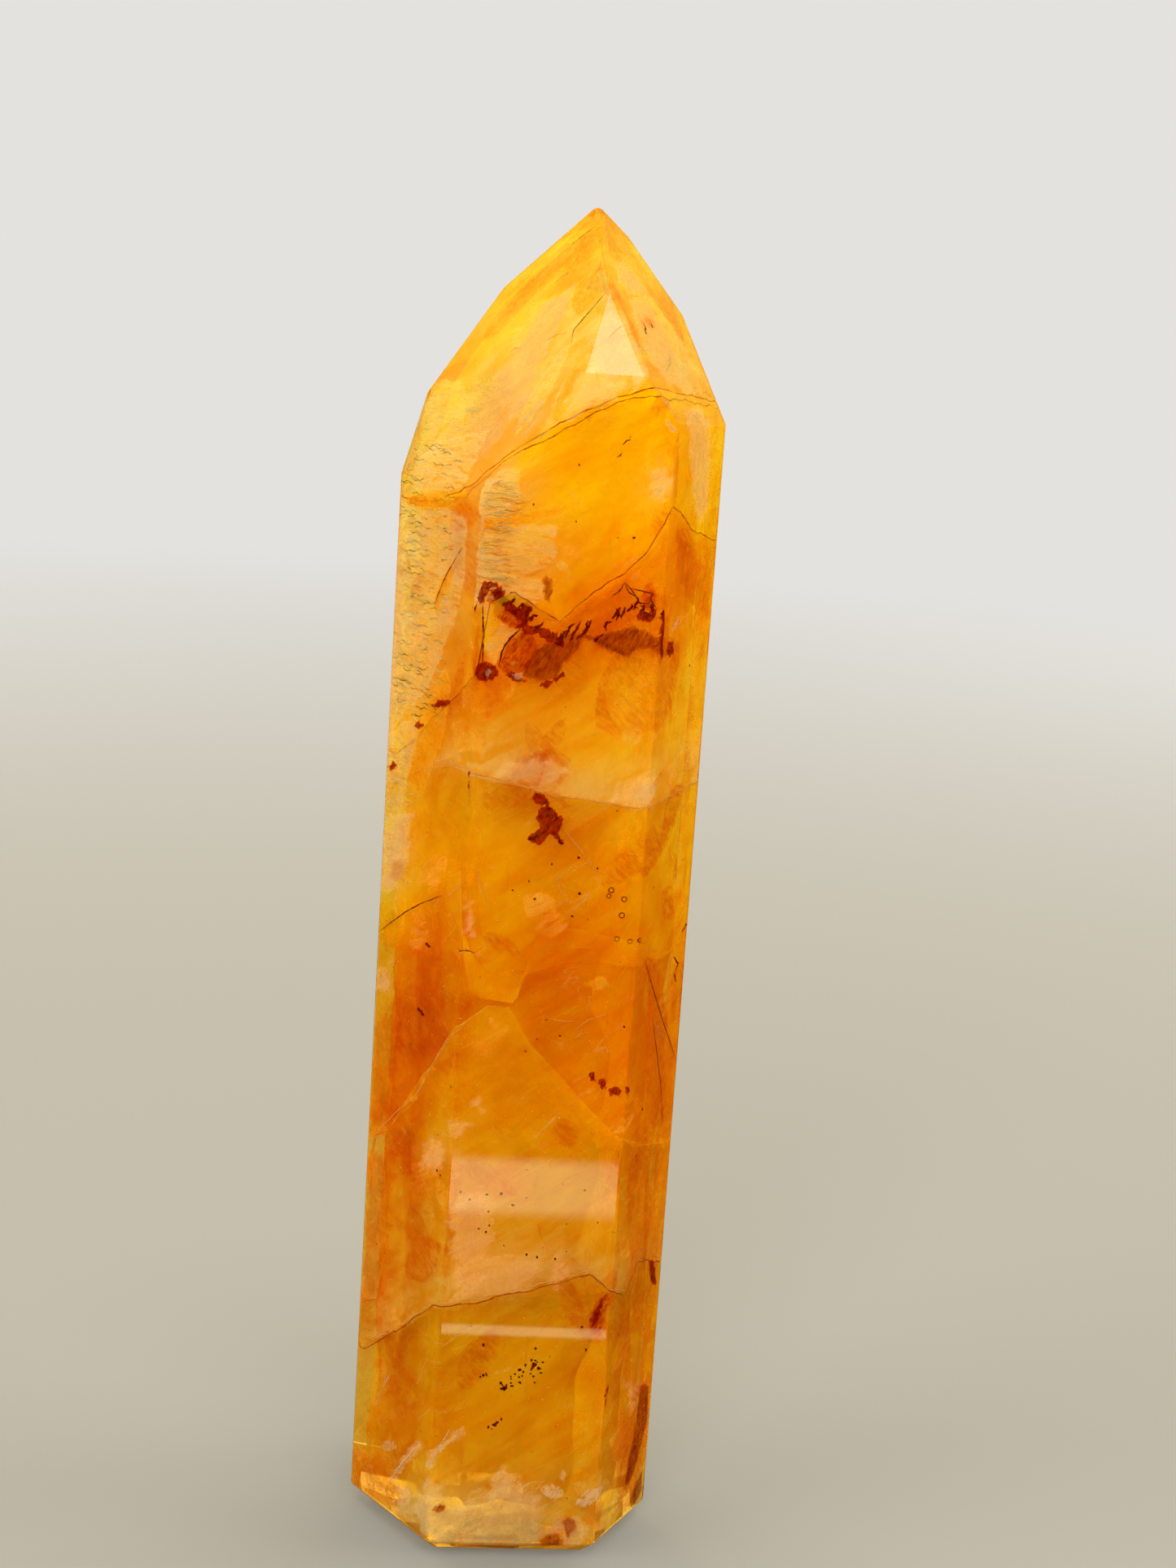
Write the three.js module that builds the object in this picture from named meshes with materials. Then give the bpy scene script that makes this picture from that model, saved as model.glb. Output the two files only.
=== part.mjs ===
// Quartz tower: one natural crystal of golden healer quartz, cut flat at the foot and
// polished, so that it stands upright on its own base.
//
// The body is convex, so it is described as a cutter would: every polished face is a flat
// plane, and the crystal is what is left behind all of them. Six tall prism faces make the
// column, six sloping facets make the termination, a tiny flat blunts the tip, and a small
// chamfer runs round the foot.
//
// Units are millimetres, +Z is up, the crystal stands on z = 0 and its broad front face
// looks towards -Y. Its centre line stands over the middle of its own outline.

import * as THREE from 'three';
import { ConvexGeometry } from 'three/addons/geometries/ConvexGeometry.js';
import { mergeVertices } from 'three/addons/utils/BufferGeometryUtils.js';

// Driving dimensions ------------------------------------------------------------------

const tipHeight = 99.8;        // height of the flat that blunts the tip
const girthHeight = 45;        // height at which the prism faces are measured
const footChamferInset = 1.4;  // how far the chamfer narrows the foot
const footChamferRise = 1.2;   // how high the chamfer climbs the prism faces

// Each face looks outwards at a bearing, in degrees from the front (-Y), turning towards
// -X. A prism face lies at a distance from the centre line at girth height, and its lean
// is how far it tips upwards, in degrees: the column widens very slightly to one side.
// A termination facet rises at a slope from the horizontal, and its plane would cross the
// centre line at the crossing height.
const sides = [
  { bearing: 1.5, distance: 10.3, lean: -0.1, tipBearing: 1.5, slope: 59.5, crossing: 105.5 },
  { bearing: 60.5, distance: 10.0, lean: 0.2, tipBearing: 58.5, slope: 60.5, crossing: 97.0 },
  { bearing: 117.5, distance: 10.1, lean: -0.2, tipBearing: 119.5, slope: 60.5, crossing: 103.8 },
  { bearing: 180, distance: 10.4, lean: 0, tipBearing: 175, slope: 57.5, crossing: 100.3 },
  { bearing: 239.5, distance: 8.6, lean: -0.2, tipBearing: 239.5, slope: 53.5, crossing: 104.4 },
  { bearing: 302.5, distance: 11.4, lean: -0.3, tipBearing: 301.5, slope: 56.0, crossing: 102.2 },
];

// Planes ------------------------------------------------------------------------------

const down = new THREE.Vector3(0, 0, -1);
const up = new THREE.Vector3(0, 0, 1);

// The unit vector that a face looks along: its bearing, tipped up by an elevation.
function outward(bearing, elevation) {
  const turn = THREE.MathUtils.degToRad(bearing);
  const tip = THREE.MathUtils.degToRad(elevation);
  return new THREE.Vector3(
    -Math.sin(turn) * Math.cos(tip),
    -Math.cos(turn) * Math.cos(tip),
    Math.sin(tip),
  );
}

function planeThrough(normal, point) {
  return new THREE.Plane().setFromNormalAndCoplanarPoint(normal, point);
}

function prismPlane({ bearing, distance, lean }) {
  const point = outward(bearing, 0).multiplyScalar(distance).setZ(girthHeight);
  return planeThrough(outward(bearing, lean), point);
}

function terminationPlane({ tipBearing, slope, crossing }) {
  return planeThrough(outward(tipBearing, 90 - slope), new THREE.Vector3(0, 0, crossing));
}

// The chamfer starts on the foot, inset from the prism face, and meets that face all
// along one height. Leaning in or out moves the face sideways as it climbs, which makes
// the chamfer's run a little longer or shorter than its inset.
function chamferPlane({ bearing, distance, lean }) {
  const drift = Math.tan(THREE.MathUtils.degToRad(lean));
  const faceAtFoot = distance + drift * girthHeight;
  const start = outward(bearing, 0).multiplyScalar(faceAtFoot - footChamferInset);
  const run = footChamferInset - drift * footChamferRise;
  const undercut = THREE.MathUtils.radToDeg(Math.atan2(footChamferRise, run));
  return planeThrough(outward(bearing, undercut - 90), start);
}

const planes = [
  planeThrough(down, new THREE.Vector3(0, 0, 0)),
  planeThrough(up, new THREE.Vector3(0, 0, tipHeight)),
  ...sides.map(prismPlane),
  ...sides.map(terminationPlane),
  ...sides.map(chamferPlane),
];

// Corners -----------------------------------------------------------------------------

const parallelLimit = 1e-6;  // determinant below which three planes have no single corner
const tolerance = 1e-6;      // mm within which a corner is on a plane, or is a known corner

// The point that three planes share, by Cramer's rule, or null where they have none.
function sharedPoint(a, b, c) {
  const bc = new THREE.Vector3().crossVectors(b.normal, c.normal);
  const determinant = a.normal.dot(bc);
  if (Math.abs(determinant) < parallelLimit) return null;
  const ca = new THREE.Vector3().crossVectors(c.normal, a.normal);
  const ab = new THREE.Vector3().crossVectors(a.normal, b.normal);
  return bc.multiplyScalar(-a.constant)
    .addScaledVector(ca, -b.constant)
    .addScaledVector(ab, -c.constant)
    .divideScalar(determinant);
}

// Every corner is where three planes meet, behind all the others. At the top of the
// chamfer four planes meet in one corner, which is kept once.
function crystalCorners() {
  const corners = [];
  for (let i = 0; i < planes.length; i += 1) {
    for (let j = i + 1; j < planes.length; j += 1) {
      for (let k = j + 1; k < planes.length; k += 1) {
        const corner = sharedPoint(planes[i], planes[j], planes[k]);
        if (!corner) continue;
        const behindAll = planes.every((plane) => plane.distanceToPoint(corner) < tolerance);
        const known = corners.some((other) => other.distanceTo(corner) < tolerance);
        if (behindAll && !known) corners.push(corner);
      }
    }
  }
  return corners;
}

// The crystal -------------------------------------------------------------------------

function crystalGeometry() {
  const hull = new ConvexGeometry(crystalCorners());
  hull.deleteAttribute('normal');
  const geometry = mergeVertices(hull);
  geometry.computeBoundingBox();
  const middle = geometry.boundingBox.getCenter(new THREE.Vector3());
  geometry.translate(-middle.x, -middle.y, 0);
  geometry.computeVertexNormals();
  return geometry;
}

const goldenQuartz = new THREE.MeshStandardMaterial({
  color: 0xd98a1c,
  roughness: 0.08,
  metalness: 0,
});

const tower = new THREE.Group();
const crystal = new THREE.Mesh(crystalGeometry(), goldenQuartz);
crystal.name = 'quartz_tower';
tower.add(crystal);

export default tower;
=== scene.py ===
from functools import partial
from math import cos, pi, radians, sin

import bmesh
import bpy
import numpy as np
from mathutils import Matrix, Vector


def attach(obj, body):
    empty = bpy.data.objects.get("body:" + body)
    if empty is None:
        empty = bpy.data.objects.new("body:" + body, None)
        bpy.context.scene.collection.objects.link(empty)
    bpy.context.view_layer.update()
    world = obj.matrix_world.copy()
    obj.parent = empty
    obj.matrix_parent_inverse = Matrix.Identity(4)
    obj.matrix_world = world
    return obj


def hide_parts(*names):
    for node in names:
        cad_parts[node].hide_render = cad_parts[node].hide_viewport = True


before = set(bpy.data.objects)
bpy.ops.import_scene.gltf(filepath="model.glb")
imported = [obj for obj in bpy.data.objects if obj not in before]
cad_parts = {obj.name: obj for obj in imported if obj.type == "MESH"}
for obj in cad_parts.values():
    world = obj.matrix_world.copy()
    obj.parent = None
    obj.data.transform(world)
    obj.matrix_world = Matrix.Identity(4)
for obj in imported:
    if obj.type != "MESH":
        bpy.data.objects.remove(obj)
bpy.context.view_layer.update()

# --- View -----------------------------------------------------------------------------
# The crystal is looked at from a little above and to the left of its broad front face,
# close enough for the foot to look narrower than the shoulders, with the view rolled so
# that the tip leans to the right.
MM = 0.001
view_position = Vector((-18.81, -184.39, 89.42)) * MM
view_turn = 6.92
view_down = 9.77
view_roll = 3.67


def in_scene(name, data):
    """A new object with that data, linked into the scene."""
    thing = bpy.data.objects.new(name, data)
    bpy.context.collection.objects.link(thing)
    return thing


camera_data = bpy.data.cameras.new("view")
camera_data.sensor_width = 36.0
camera_data.lens = 57.4
camera_data.clip_start = 5 * MM
camera = in_scene("view", camera_data)
camera.matrix_world = (
    Matrix.Translation(view_position)
    @ Matrix.Rotation(radians(-view_turn), 4, "Z")
    @ Matrix.Rotation(radians(90 - view_down), 4, "X")
    @ Matrix.Rotation(radians(view_roll), 4, "Z")
)
scene = bpy.context.scene
scene.camera = camera
scene.view_settings.view_transform = "Standard"
scene.cycles.transparent_max_bounces = 24
scene.cycles.max_bounces = 12
scene.cycles.transmission_bounces = 12
scene.cycles.caustics_reflective = False
scene.cycles.caustics_refractive = False


# --- Floor and light ------------------------------------------------------------------
# A matt pale floor that runs out into an even pale background, large soft lights at the
# sides and behind that glow through the crystal, and two lit strips on the floor before
# it, under black slats, that the broad front face mirrors as two level bands.
def linear(hex_colour):
    """An sRGB hex colour as linear red, green, blue and an alpha of 1, by the sRGB curve."""
    srgb = np.array([int(hex_colour[i:i + 2], 16) for i in (1, 3, 5)]) / 255
    curve = np.where(srgb <= 0.04045, srgb / 12.92, ((srgb + 0.055) / 1.055) ** 2.4)
    return (*curve.tolist(), 1.0)


def add_node(tree, kind, settings=None):
    """Adds one node. Each setting goes to the socket of that name or number, or else to the
    node's own property. A setting that is a socket is linked, and so is one that is a node,
    from its first output."""
    node = tree.nodes.new("ShaderNode" + kind)
    for name, value in (settings or {}).items():
        if isinstance(value, bpy.types.Node):
            value = value.outputs[0]
        if isinstance(value, bpy.types.NodeSocket):
            tree.links.new(value, node.inputs[name])
        elif isinstance(name, int) or name in node.inputs:
            node.inputs[name].default_value = value
        else:
            setattr(node, name, value)
    return node


def new_material(name):
    """An empty material, and add_node for its tree."""
    material = bpy.data.materials.new(name)
    material.use_nodes = True
    material.node_tree.nodes.clear()
    return material, partial(add_node, material.node_tree)


# Matt emulsion paint: no sheen, so the floor shows only the soft shadow, and far out it
# gives way to the even backdrop.
backdrop = linear("#E4E2DE")
paint, add = new_material("matt pale studio floor")
matt = add("BsdfPrincipled", {"Base Color": linear("#C6C4C0"), "Roughness": 1.0, "Specular IOR Level": 0.0})
far_away = add("Emission", {"Color": backdrop, "Strength": 1.0})
distance = add("VectorMath", {"operation": "LENGTH", 0: add("TexCoord").outputs["Object"]})
fade = add("MapRange", {"interpolation_type": "SMOOTHSTEP", 0: distance.outputs["Value"], 1: 0.1, 2: 0.9})
add("OutputMaterial", {"Surface": add("MixShader", {0: fade, 1: matt, 2: far_away})})

floor_half = 30.0
floor_level = -0.05 * MM
floor_mesh = bpy.data.meshes.new("floor")
floor_mesh.from_pydata([(x * floor_half, y * floor_half, floor_level) for x, y in (
    (-1, -1), (1, -1), (1, 1), (-1, 1))], [], [(0, 1, 2, 3)])
floor_mesh.materials.append(paint)
floor = in_scene("floor", floor_mesh)
floor.visible_glossy = False

# A white light tent: full strength through the crystal, but the polish mirrors only the
# upper half of it, dim and warm, and the view sees the plain backdrop.
tent_strength = 2.3
world = bpy.data.worlds.new("studio")
scene.world = world
world.use_nodes = True
world.node_tree.nodes.clear()
add = partial(add_node, world.node_tree)
way = add("SeparateXYZ", {0: add("TexCoord").outputs["Generated"]})
above = add("MapRange", {0: way.outputs["Z"], 1: -0.05, 2: 0.05, 3: 0.03, 4: 1.0})
ahead = add("MapRange", {0: way.outputs["Y"], 1: -0.5, 2: 0.0, 3: 0.08, 4: 0.4})
dim = add("Math", {"operation": "MULTIPLY", 0: above, 1: ahead})
rays = add("LightPath")
mirrored = rays.outputs["Is Reflection Ray"]
strength = add("Mix", {0: mirrored, 2: tent_strength, 3: dim})
warmth = add("Mix", {"data_type": "RGBA", 0: mirrored, 6: linear("#FFFCF6"), 7: linear("#FFE990")})
tent = add("Background", {"Color": warmth.outputs[2], "Strength": strength})
seen = add("Background", {"Color": backdrop, "Strength": 1.0})
add("OutputWorld", {"Surface": add("MixShader", {0: rays.outputs["Is Camera Ray"], 1: tent, 2: seen})})

# (name, place in metres, side in metres, power): square lamps that face the crystal
soft_boxes = [
    ("left_softbox", (-0.75, -0.25, 0.25), 0.5, 2.0), ("right_softbox", (0.75, 0.0, 0.3), 0.5, 1.5),
    ("back_left_softbox", (-0.45, 0.6, 0.3), 0.5, 2.0), ("back_right_softbox", (0.5, 0.6, 0.3), 0.5, 2.0),
    ("front_softbox", (-0.25, -0.8, 0.55), 0.4, 2.0), ("overhead_softbox", (0.1, -0.32, 0.9), 0.3, 0.9)]
crystal_middle = Vector((0, 0, 50)) * MM
for name, position, side, power in soft_boxes:
    light = bpy.data.lights.new(name, "AREA")
    light.size = side
    light.energy = power
    lamp = in_scene(name, light)
    lamp.location = position
    lamp.rotation_euler = (crystal_middle - Vector(position)).to_track_quat("-Z", "Y").to_euler()
    lamp.visible_camera = lamp.visible_transmission = False
    lamp.visible_glossy = name == "overhead_softbox"


def only_mirrored(name, points, faces, material):
    """A thing of the studio that only mirrored light meets, its points in millimetres."""
    mesh = bpy.data.meshes.new(name)
    mesh.from_pydata(np.array(points) * MM, [], faces)
    mesh.materials.append(material)
    thing = in_scene(name, mesh)
    thing.visible_camera = thing.visible_transmission = thing.visible_diffuse = thing.visible_shadow = False


strip_level = 1.0


def glow_strip(name, left, right, near, far, radiance, fade):
    """A flat lamp before the crystal, its sides in millimetres: the light swells from nothing
    to full over the fade at its near and far sides, and a quarter of it is lost from left to
    right."""
    lit, add = new_material(name + " light")
    place = add("SeparateXYZ", {0: add("TexCoord").outputs["Object"]})
    x, y = place.outputs["X"], place.outputs["Y"]
    swell = add("MapRange", {"interpolation_type": "SMOOTHSTEP", 0: y, 1: near * MM, 2: (near + fade) * MM})
    wane = add("MapRange", {
        "interpolation_type": "SMOOTHSTEP", 0: y, 1: (far - fade) * MM, 2: far * MM, 3: 1.0, 4: 0.0})
    loss = add("MapRange", {0: x, 1: left * MM, 2: right * MM, 3: radiance, 4: 0.75 * radiance})
    strength = add("Math", {"operation": "MULTIPLY", 0: swell, 1: wane})
    strength = add("Math", {"operation": "MULTIPLY", 0: strength, 1: loss})
    add("OutputMaterial", {"Surface": add("Emission", {"Color": linear("#F8FFC0"), "Strength": strength})})
    lit.cycles.emission_sampling = "NONE"
    only_mirrored(name, [(left, near, strip_level), (right, near, strip_level), (right, far, strip_level),
                         (left, far, strip_level)], [(0, 1, 2, 3)], lit)


mirrored_viewer = (-9.7, 164.5)  # where the front face mirrors the viewer, behind it
slat_line = -90                  # the level line across that the slats cross at equal steps


def slats(name, near, far, top, apart=0.5):
    """Upright black felt slats over a strip, so that only the front face mirrors it. Each
    lies on a line that fans out from the mirrored viewer, who sees it edge on."""
    fan_x, fan_y = mirrored_viewer
    sides = np.array([near, far, far, near])
    crossing = np.arange(-14, 24, apart)[:, None]
    x = fan_x + (crossing - fan_x) * (fan_y - sides) / (fan_y - slat_line)
    foot = strip_level + 0.1
    y, z = np.broadcast_to(sides, x.shape), np.broadcast_to([foot, foot, top, top], x.shape)
    corners = np.stack([x, y, z], axis=-1).reshape(-1, 3)
    felt, add = new_material(name + " black felt")
    add("OutputMaterial", {"Surface": add("BsdfDiffuse", {"Color": linear("#0C0C0C")})})
    only_mirrored(name, corners, np.arange(len(corners)).reshape(-1, 4).tolist(), felt)


glow_strip("broad_strip", -13, 23, -102, -80, 3.5, 5.0)
glow_strip("thin_strip", -11, 17, -53, -49.6, 3.6, 1.2)
slats("broad_slats", -103, -70, 5)
slats("thin_slats", -54, -41, 4)


# --- The polished crystal --------------------------------------------------------------
# One piece of golden quartz, sawn, ground flat and polished by hand: six long faces, six
# facets that meet in the tip, a flat foot with a chamfer, and edges eased to a quarter of
# a millimetre.
def facet_planes(node):
    """The facets of a convex node, as outward normals and their distances from the origin
    in millimetres, one row for each different triangle plane: rounded to a thousandth, and
    both in one row before rounding."""
    data = node.data
    data.calc_loop_triangles()
    points = np.array([node.matrix_world @ v.co for v in data.vertices]) / MM
    corners = points[np.array([t.vertices for t in data.loop_triangles])]
    normals = np.cross(corners[:, 1] - corners[:, 0], corners[:, 2] - corners[:, 0])
    normals /= np.linalg.norm(normals, axis=1, keepdims=True)
    distances = np.einsum("ij,ij->i", normals, corners[:, 0])
    exact = np.column_stack([normals, distances])
    rows, first = np.unique(np.round(exact, 3), axis=0, return_index=True)
    return rows[:, :3], rows[:, 3], exact[first]


crystal_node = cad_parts["quartz_tower"]
facet_normals, facet_distances, exact_facets = facet_planes(crystal_node)

shape = bmesh.new()
shape.from_mesh(crystal_node.data)
shape.transform(crystal_node.matrix_world)
bmesh.ops.remove_doubles(shape, verts=shape.verts, dist=1e-6)
bmesh.ops.dissolve_limit(shape, angle_limit=radians(0.05), verts=shape.verts, edges=shape.edges)
crystal_mesh = bpy.data.meshes.new("polished_crystal")
shape.to_mesh(crystal_mesh)
shape.free()
crystal = in_scene("polished_crystal", crystal_mesh)
eased = crystal.modifiers.new("edges eased by hand polishing", "BEVEL")
eased.width = 0.25 * MM
eased.segments = 3
eased.limit_method = "ANGLE"
eased.angle_limit = radians(5)

# Quartz, polished to a glassy surface: clear, with sharp mirror images on its faces, and a
# golden tint that deepens with the way the light takes through it. Light for the shadow
# side goes straight through.
quartz_index = 1.544
quartz, add = new_material("polished golden quartz")
glass = add("BsdfPrincipled", {
    "Base Color": (1, 1, 1, 1), "Roughness": 0.0, "IOR": quartz_index, "Transmission Weight": 1.0})
skin = add("MixShader", {0: add("LightPath").outputs["Is Shadow Ray"], 1: glass, 2: add("BsdfTransparent")})
golden = add("VolumeAbsorption", {"Color": linear("#FEE800"), "Density": 110.0})
add("OutputMaterial", {"Surface": skin, "Volume": golden})
crystal_mesh.materials.clear()
crystal_mesh.materials.append(quartz)
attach(crystal, "root")
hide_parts("quartz_tower")


# --- Healed fractures ------------------------------------------------------------------
# Old cracks that healed while the crystal grew, each a wavy sheet that shows on the faces
# as a line. Iron oxide settled in them and coloured the quartz above and below each one
# differently, and the paler colour just above the foot fracture is also painted light that
# its sheet mirrors from above. Bearings are in degrees round the crystal from its front, left positive.
def bearing_way(bearing):
    """The level direction of a bearing in degrees: the front is -Y, and 90 is -X."""
    angle = np.radians(bearing)
    return np.stack([-np.sin(angle), -np.cos(angle), np.zeros_like(angle)], axis=-1)


shoulder_height = 80
tip_height = 100
tip_across, tip_back = 1.67, 0.39   # how far the tip stands off the middle of the column


def axis_point(height):
    """The crystal's middle at each height in millimetres: upright up to the shoulders, and
    then leaning towards the tip."""
    lean = np.clip((height - shoulder_height) / (tip_height - shoulder_height), 0, 1)
    return np.stack([lean * tip_across, lean * tip_back, height], axis=-1)


def reach(origin, directions):
    """How far the crystal goes from origin along each direction: the nearest crossing with
    any facet that faces that way."""
    towards = directions @ facet_normals.T
    gap = facet_distances - origin @ facet_normals.T
    crossing = np.where(towards > 1e-9, gap / np.where(towards > 1e-9, towards, 1), np.inf)
    return crossing.min(axis=-1)


def inside(points, clear):
    """Points in millimetres, each one that lies outside a facet or nearer to it than
    clear moved straight in from that facet. Three rounds settle the corners."""
    moved = points.copy()
    for _ in range(3):
        for normal, distance in zip(facet_normals, facet_distances):
            proud = np.maximum(moved @ normal - (distance - clear), 0)
            moved -= proud[..., None] * normal
    return moved


def ripple(x, y, wavelength, seed):
    """A smooth wavy height between about -1 and 1: six sine waves of random direction and
    phase added up, the shortest a third of the wavelength."""
    random = np.random.default_rng(seed)
    height = np.zeros(np.broadcast(x, y).shape)
    for octave in np.linspace(1, 3, 6):
        angle, phase = random.uniform(0, 2 * pi, 2)
        height += np.sin(2 * pi * octave / wavelength * (x * cos(angle) + y * sin(angle)) + phase) / octave
    return height / 2.5


# (bearing, height in millimetres) of each line on the faces, from the foot up
fracture_rims = {
    "foot": [(87, 12.5), (47, 17.6), (36, 19.3), (23, 19.9), (-5, 21.3), (-26, 22.5), (-32, 21.2),
             (-44, 20.1), (-54, 22.1), (-75, 21), (-95, 19), (-135, 16), (180, 14), (130, 12.8),
             (105, 12.2)],
    "beaded": [(90, 29.2), (77, 30.6), (66, 33.2), (54, 35.8), (44, 37.6), (32, 40.9), (22, 42.6),
               (13, 42.6), (4, 40), (-11, 37.3), (-32, 33), (-52, 31.5), (-77, 30.6), (-95, 30.6),
               (-140, 33), (175, 34), (135, 31.5), (108, 29)],
    "amber": [(88, 45.5), (60, 49.5), (34, 52.4), (31, 48), (29, 43.8), (24, 43.2), (12, 42.9), (9, 43.6),
              (7.5, 45.6), (6, 47), (2, 48.2), (-11, 48.7), (-33, 47.8), (-46, 46.6), (-62, 46), (-95, 49),
              (-140, 49), (170, 47), (125, 44.5)],
    "peach": [(86, 57), (60, 59.3), (47, 60.1), (29, 59.6), (-2, 58.3), (-33, 57.6), (-75, 58.5),
              (-105, 59.5), (-150, 58.5), (170, 57.5), (120, 56.5)],
    "hematite": [(85, 59.2), (60, 62.6), (43, 64.8), (31, 66.7), (29, 71.6), (21, 72.6), (2, 70.6),
                 (-7, 72.4), (-21, 74.2), (-28, 75.9), (-35, 79.2), (-58, 77.2), (-71, 76.6), (-95, 75.5),
                 (-130, 72), (170, 67), (130, 62.5), (105, 60)],
    "upper": [(89, 78.1), (66, 78.3), (44, 79.5), (28, 82), (11, 84.2), (-12, 86.6), (-23, 87.2),
              (-52, 86.8), (-78, 86.4), (-110, 85), (-150, 82.5), (180, 81), (140, 79.8), (110, 78.4)],
}


def rim_heights(name, bearings):
    """The height of a fracture's line at each bearing, straight between its points."""
    points = np.array(fracture_rims[name], float)
    return np.interp(bearings, points[:, 0], points[:, 1], period=360)


def sealed(name, points, faces, material, **values):
    """A piece sealed in the crystal, its points in millimetres. Each value, one for each
    point, becomes an attribute of that name."""
    mesh = bpy.data.meshes.new(name)
    mesh.from_pydata(points * MM, [], faces)
    for key, value in values.items():
        mesh.attributes.new(key, "FLOAT", "POINT").data.foreach_set("value", value)
    mesh.materials.append(material)
    mesh.shade_smooth()
    piece = in_scene(name, mesh)
    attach(piece, "root")


def grid_faces(rows, columns, closed=False):
    """The four corners of each cell of a grid, whose last column joins its first if it is
    closed."""
    row = np.arange(rows - 1)[:, None]
    column = np.arange(columns if closed else columns - 1)
    after = (column + 1) % columns
    return np.stack([row * columns + column, row * columns + after, (row + 1) * columns + after,
                     (row + 1) * columns + column], axis=-1).reshape(-1, 4)


def disc(name, rings, material, **values):
    """A sheet of rings of points round a shared middle: rings[r, k] is spoke k of ring r, and
    ring 0 is the middle. Values have the same rings and spokes."""
    def from_middle(grid):
        return np.concatenate([grid[0, :1], grid[1:].reshape(-1, *grid.shape[2:])])

    ring_count, spokes = rings.shape[:2]
    spoke = np.arange(spokes)
    fan = np.column_stack([np.zeros(spokes, int), 1 + spoke, 1 + (spoke + 1) % spokes])
    quads = 1 + grid_faces(ring_count - 1, spokes, closed=True)[:, [0, 3, 2, 1]]
    values = {key: from_middle(value) for key, value in values.items()}
    sealed(name, from_middle(rings), [*fan.tolist(), *quads.tolist()], material, **values)


def fracture_sheet(name, rim, material, dip, seed, spokes=180, ring_count=30):
    """The sheet of a fracture: a soap film stretched over its rim, in which each wave of
    the rim's height round the crystal fades inwards as the distance from the middle to the
    power of that wave's number, lowered by the dip towards its middle and rippled by 0.4
    in waves 9 long. It ends a tenth of a millimetre under the faces."""
    clear = 0.1
    bearings = -np.arange(spokes) * 360 / spokes
    share = np.linspace(0, 1, ring_count)[:, None]
    waves = np.fft.rfft(rim_heights(rim, bearings))
    film = np.fft.irfft(waves * share ** np.arange(len(waves)), spokes, axis=1)
    directions = bearing_way(bearings)
    place = share[..., None] * directions * 10
    film += (0.4 * ripple(place[..., 0], place[..., 1], 9.0, seed) - dip) * (1 - share ** 4)
    middle = axis_point(film)
    flat = middle + (share * (reach(middle, directions) - clear))[..., None] * directions
    disc(name, inside(flat, clear), material)


def film_shader(add, through, tint, milk, thrown=0.45):
    """The shader of a stained film: light goes straight through it in one colour, but the
    milk share of the light is scattered in the tint, a thrown share of that back."""
    straight = add("BsdfTransparent", {0: through})
    glow = add("BsdfTranslucent", {0: tint})
    face = add("BsdfDiffuse", {0: tint})
    both = add("MixShader", {0: thrown, 1: glow, 2: face})
    return add("MixShader", {0: milk, 1: straight, 2: both})


thin_stain = 0.12   # light passes a thin film in its tint to this power


def iron_film(name, pale, deep, grain, milk):
    """Iron oxide in a healed crack, a powdery film that glows where light falls through it.
    Noise at the grain in millimetres moves its tint from pale to deep, and coarser noise
    thickens its milk, the share of light that it scatters."""
    film, add = new_material(name)
    place = add("TexCoord").outputs["Object"]
    cloud = add("TexNoise", {
        "Vector": place, "Scale": 1 / (grain * MM), "Detail": 4.0, "Roughness": 0.62, "Distortion": 0.6})
    share = add("MapRange", {0: cloud, 1: 0.35, 2: 0.68})
    tint = add("Mix", {"data_type": "RGBA", 0: share, 6: linear(pale), 7: linear(deep)}).outputs[2]
    haze = add("TexNoise", {"Vector": place, "Scale": 1 / (2.6 * grain * MM), "Detail": 3.5})
    amount = add("MapRange", {0: haze, 1: 0.35, 2: 0.7, 3: milk * 0.2, 4: milk * 1.5})
    through = add("Gamma", {0: tint, "Gamma": thin_stain})
    add("OutputMaterial", {"Surface": film_shader(add, through, tint, amount)})
    return film


yellow_film = iron_film("limonite yellow film", "#FFEC20", "#FFD000", 1.6, 0.5)
orange_film = iron_film("goethite orange film", "#FFD418", "#F8AC00", 1.8, 0.4)
peach_film = iron_film("milky peach film", "#FFE098", "#FFC850", 1.4, 0.5)
olive_film = iron_film("olive gold film", "#E4BC20", "#C89400", 2.2, 0.4)
for name, rim, film, dip, seed in (
        ("upper_veil", "upper", yellow_film, 2.0, 3), ("hematite_veil", "hematite", orange_film, 1.0, 5),
        ("peach_veil", "peach", peach_film, 0.5, 6), ("amber_crack", "amber", orange_film, 3.0, 7),
        ("beaded_crack", "beaded", orange_film, 2.0, 8), ("foot_fracture", "foot", olive_film, 0.5, 9)):
    fracture_sheet(name, rim, film, dip, seed)


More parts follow.
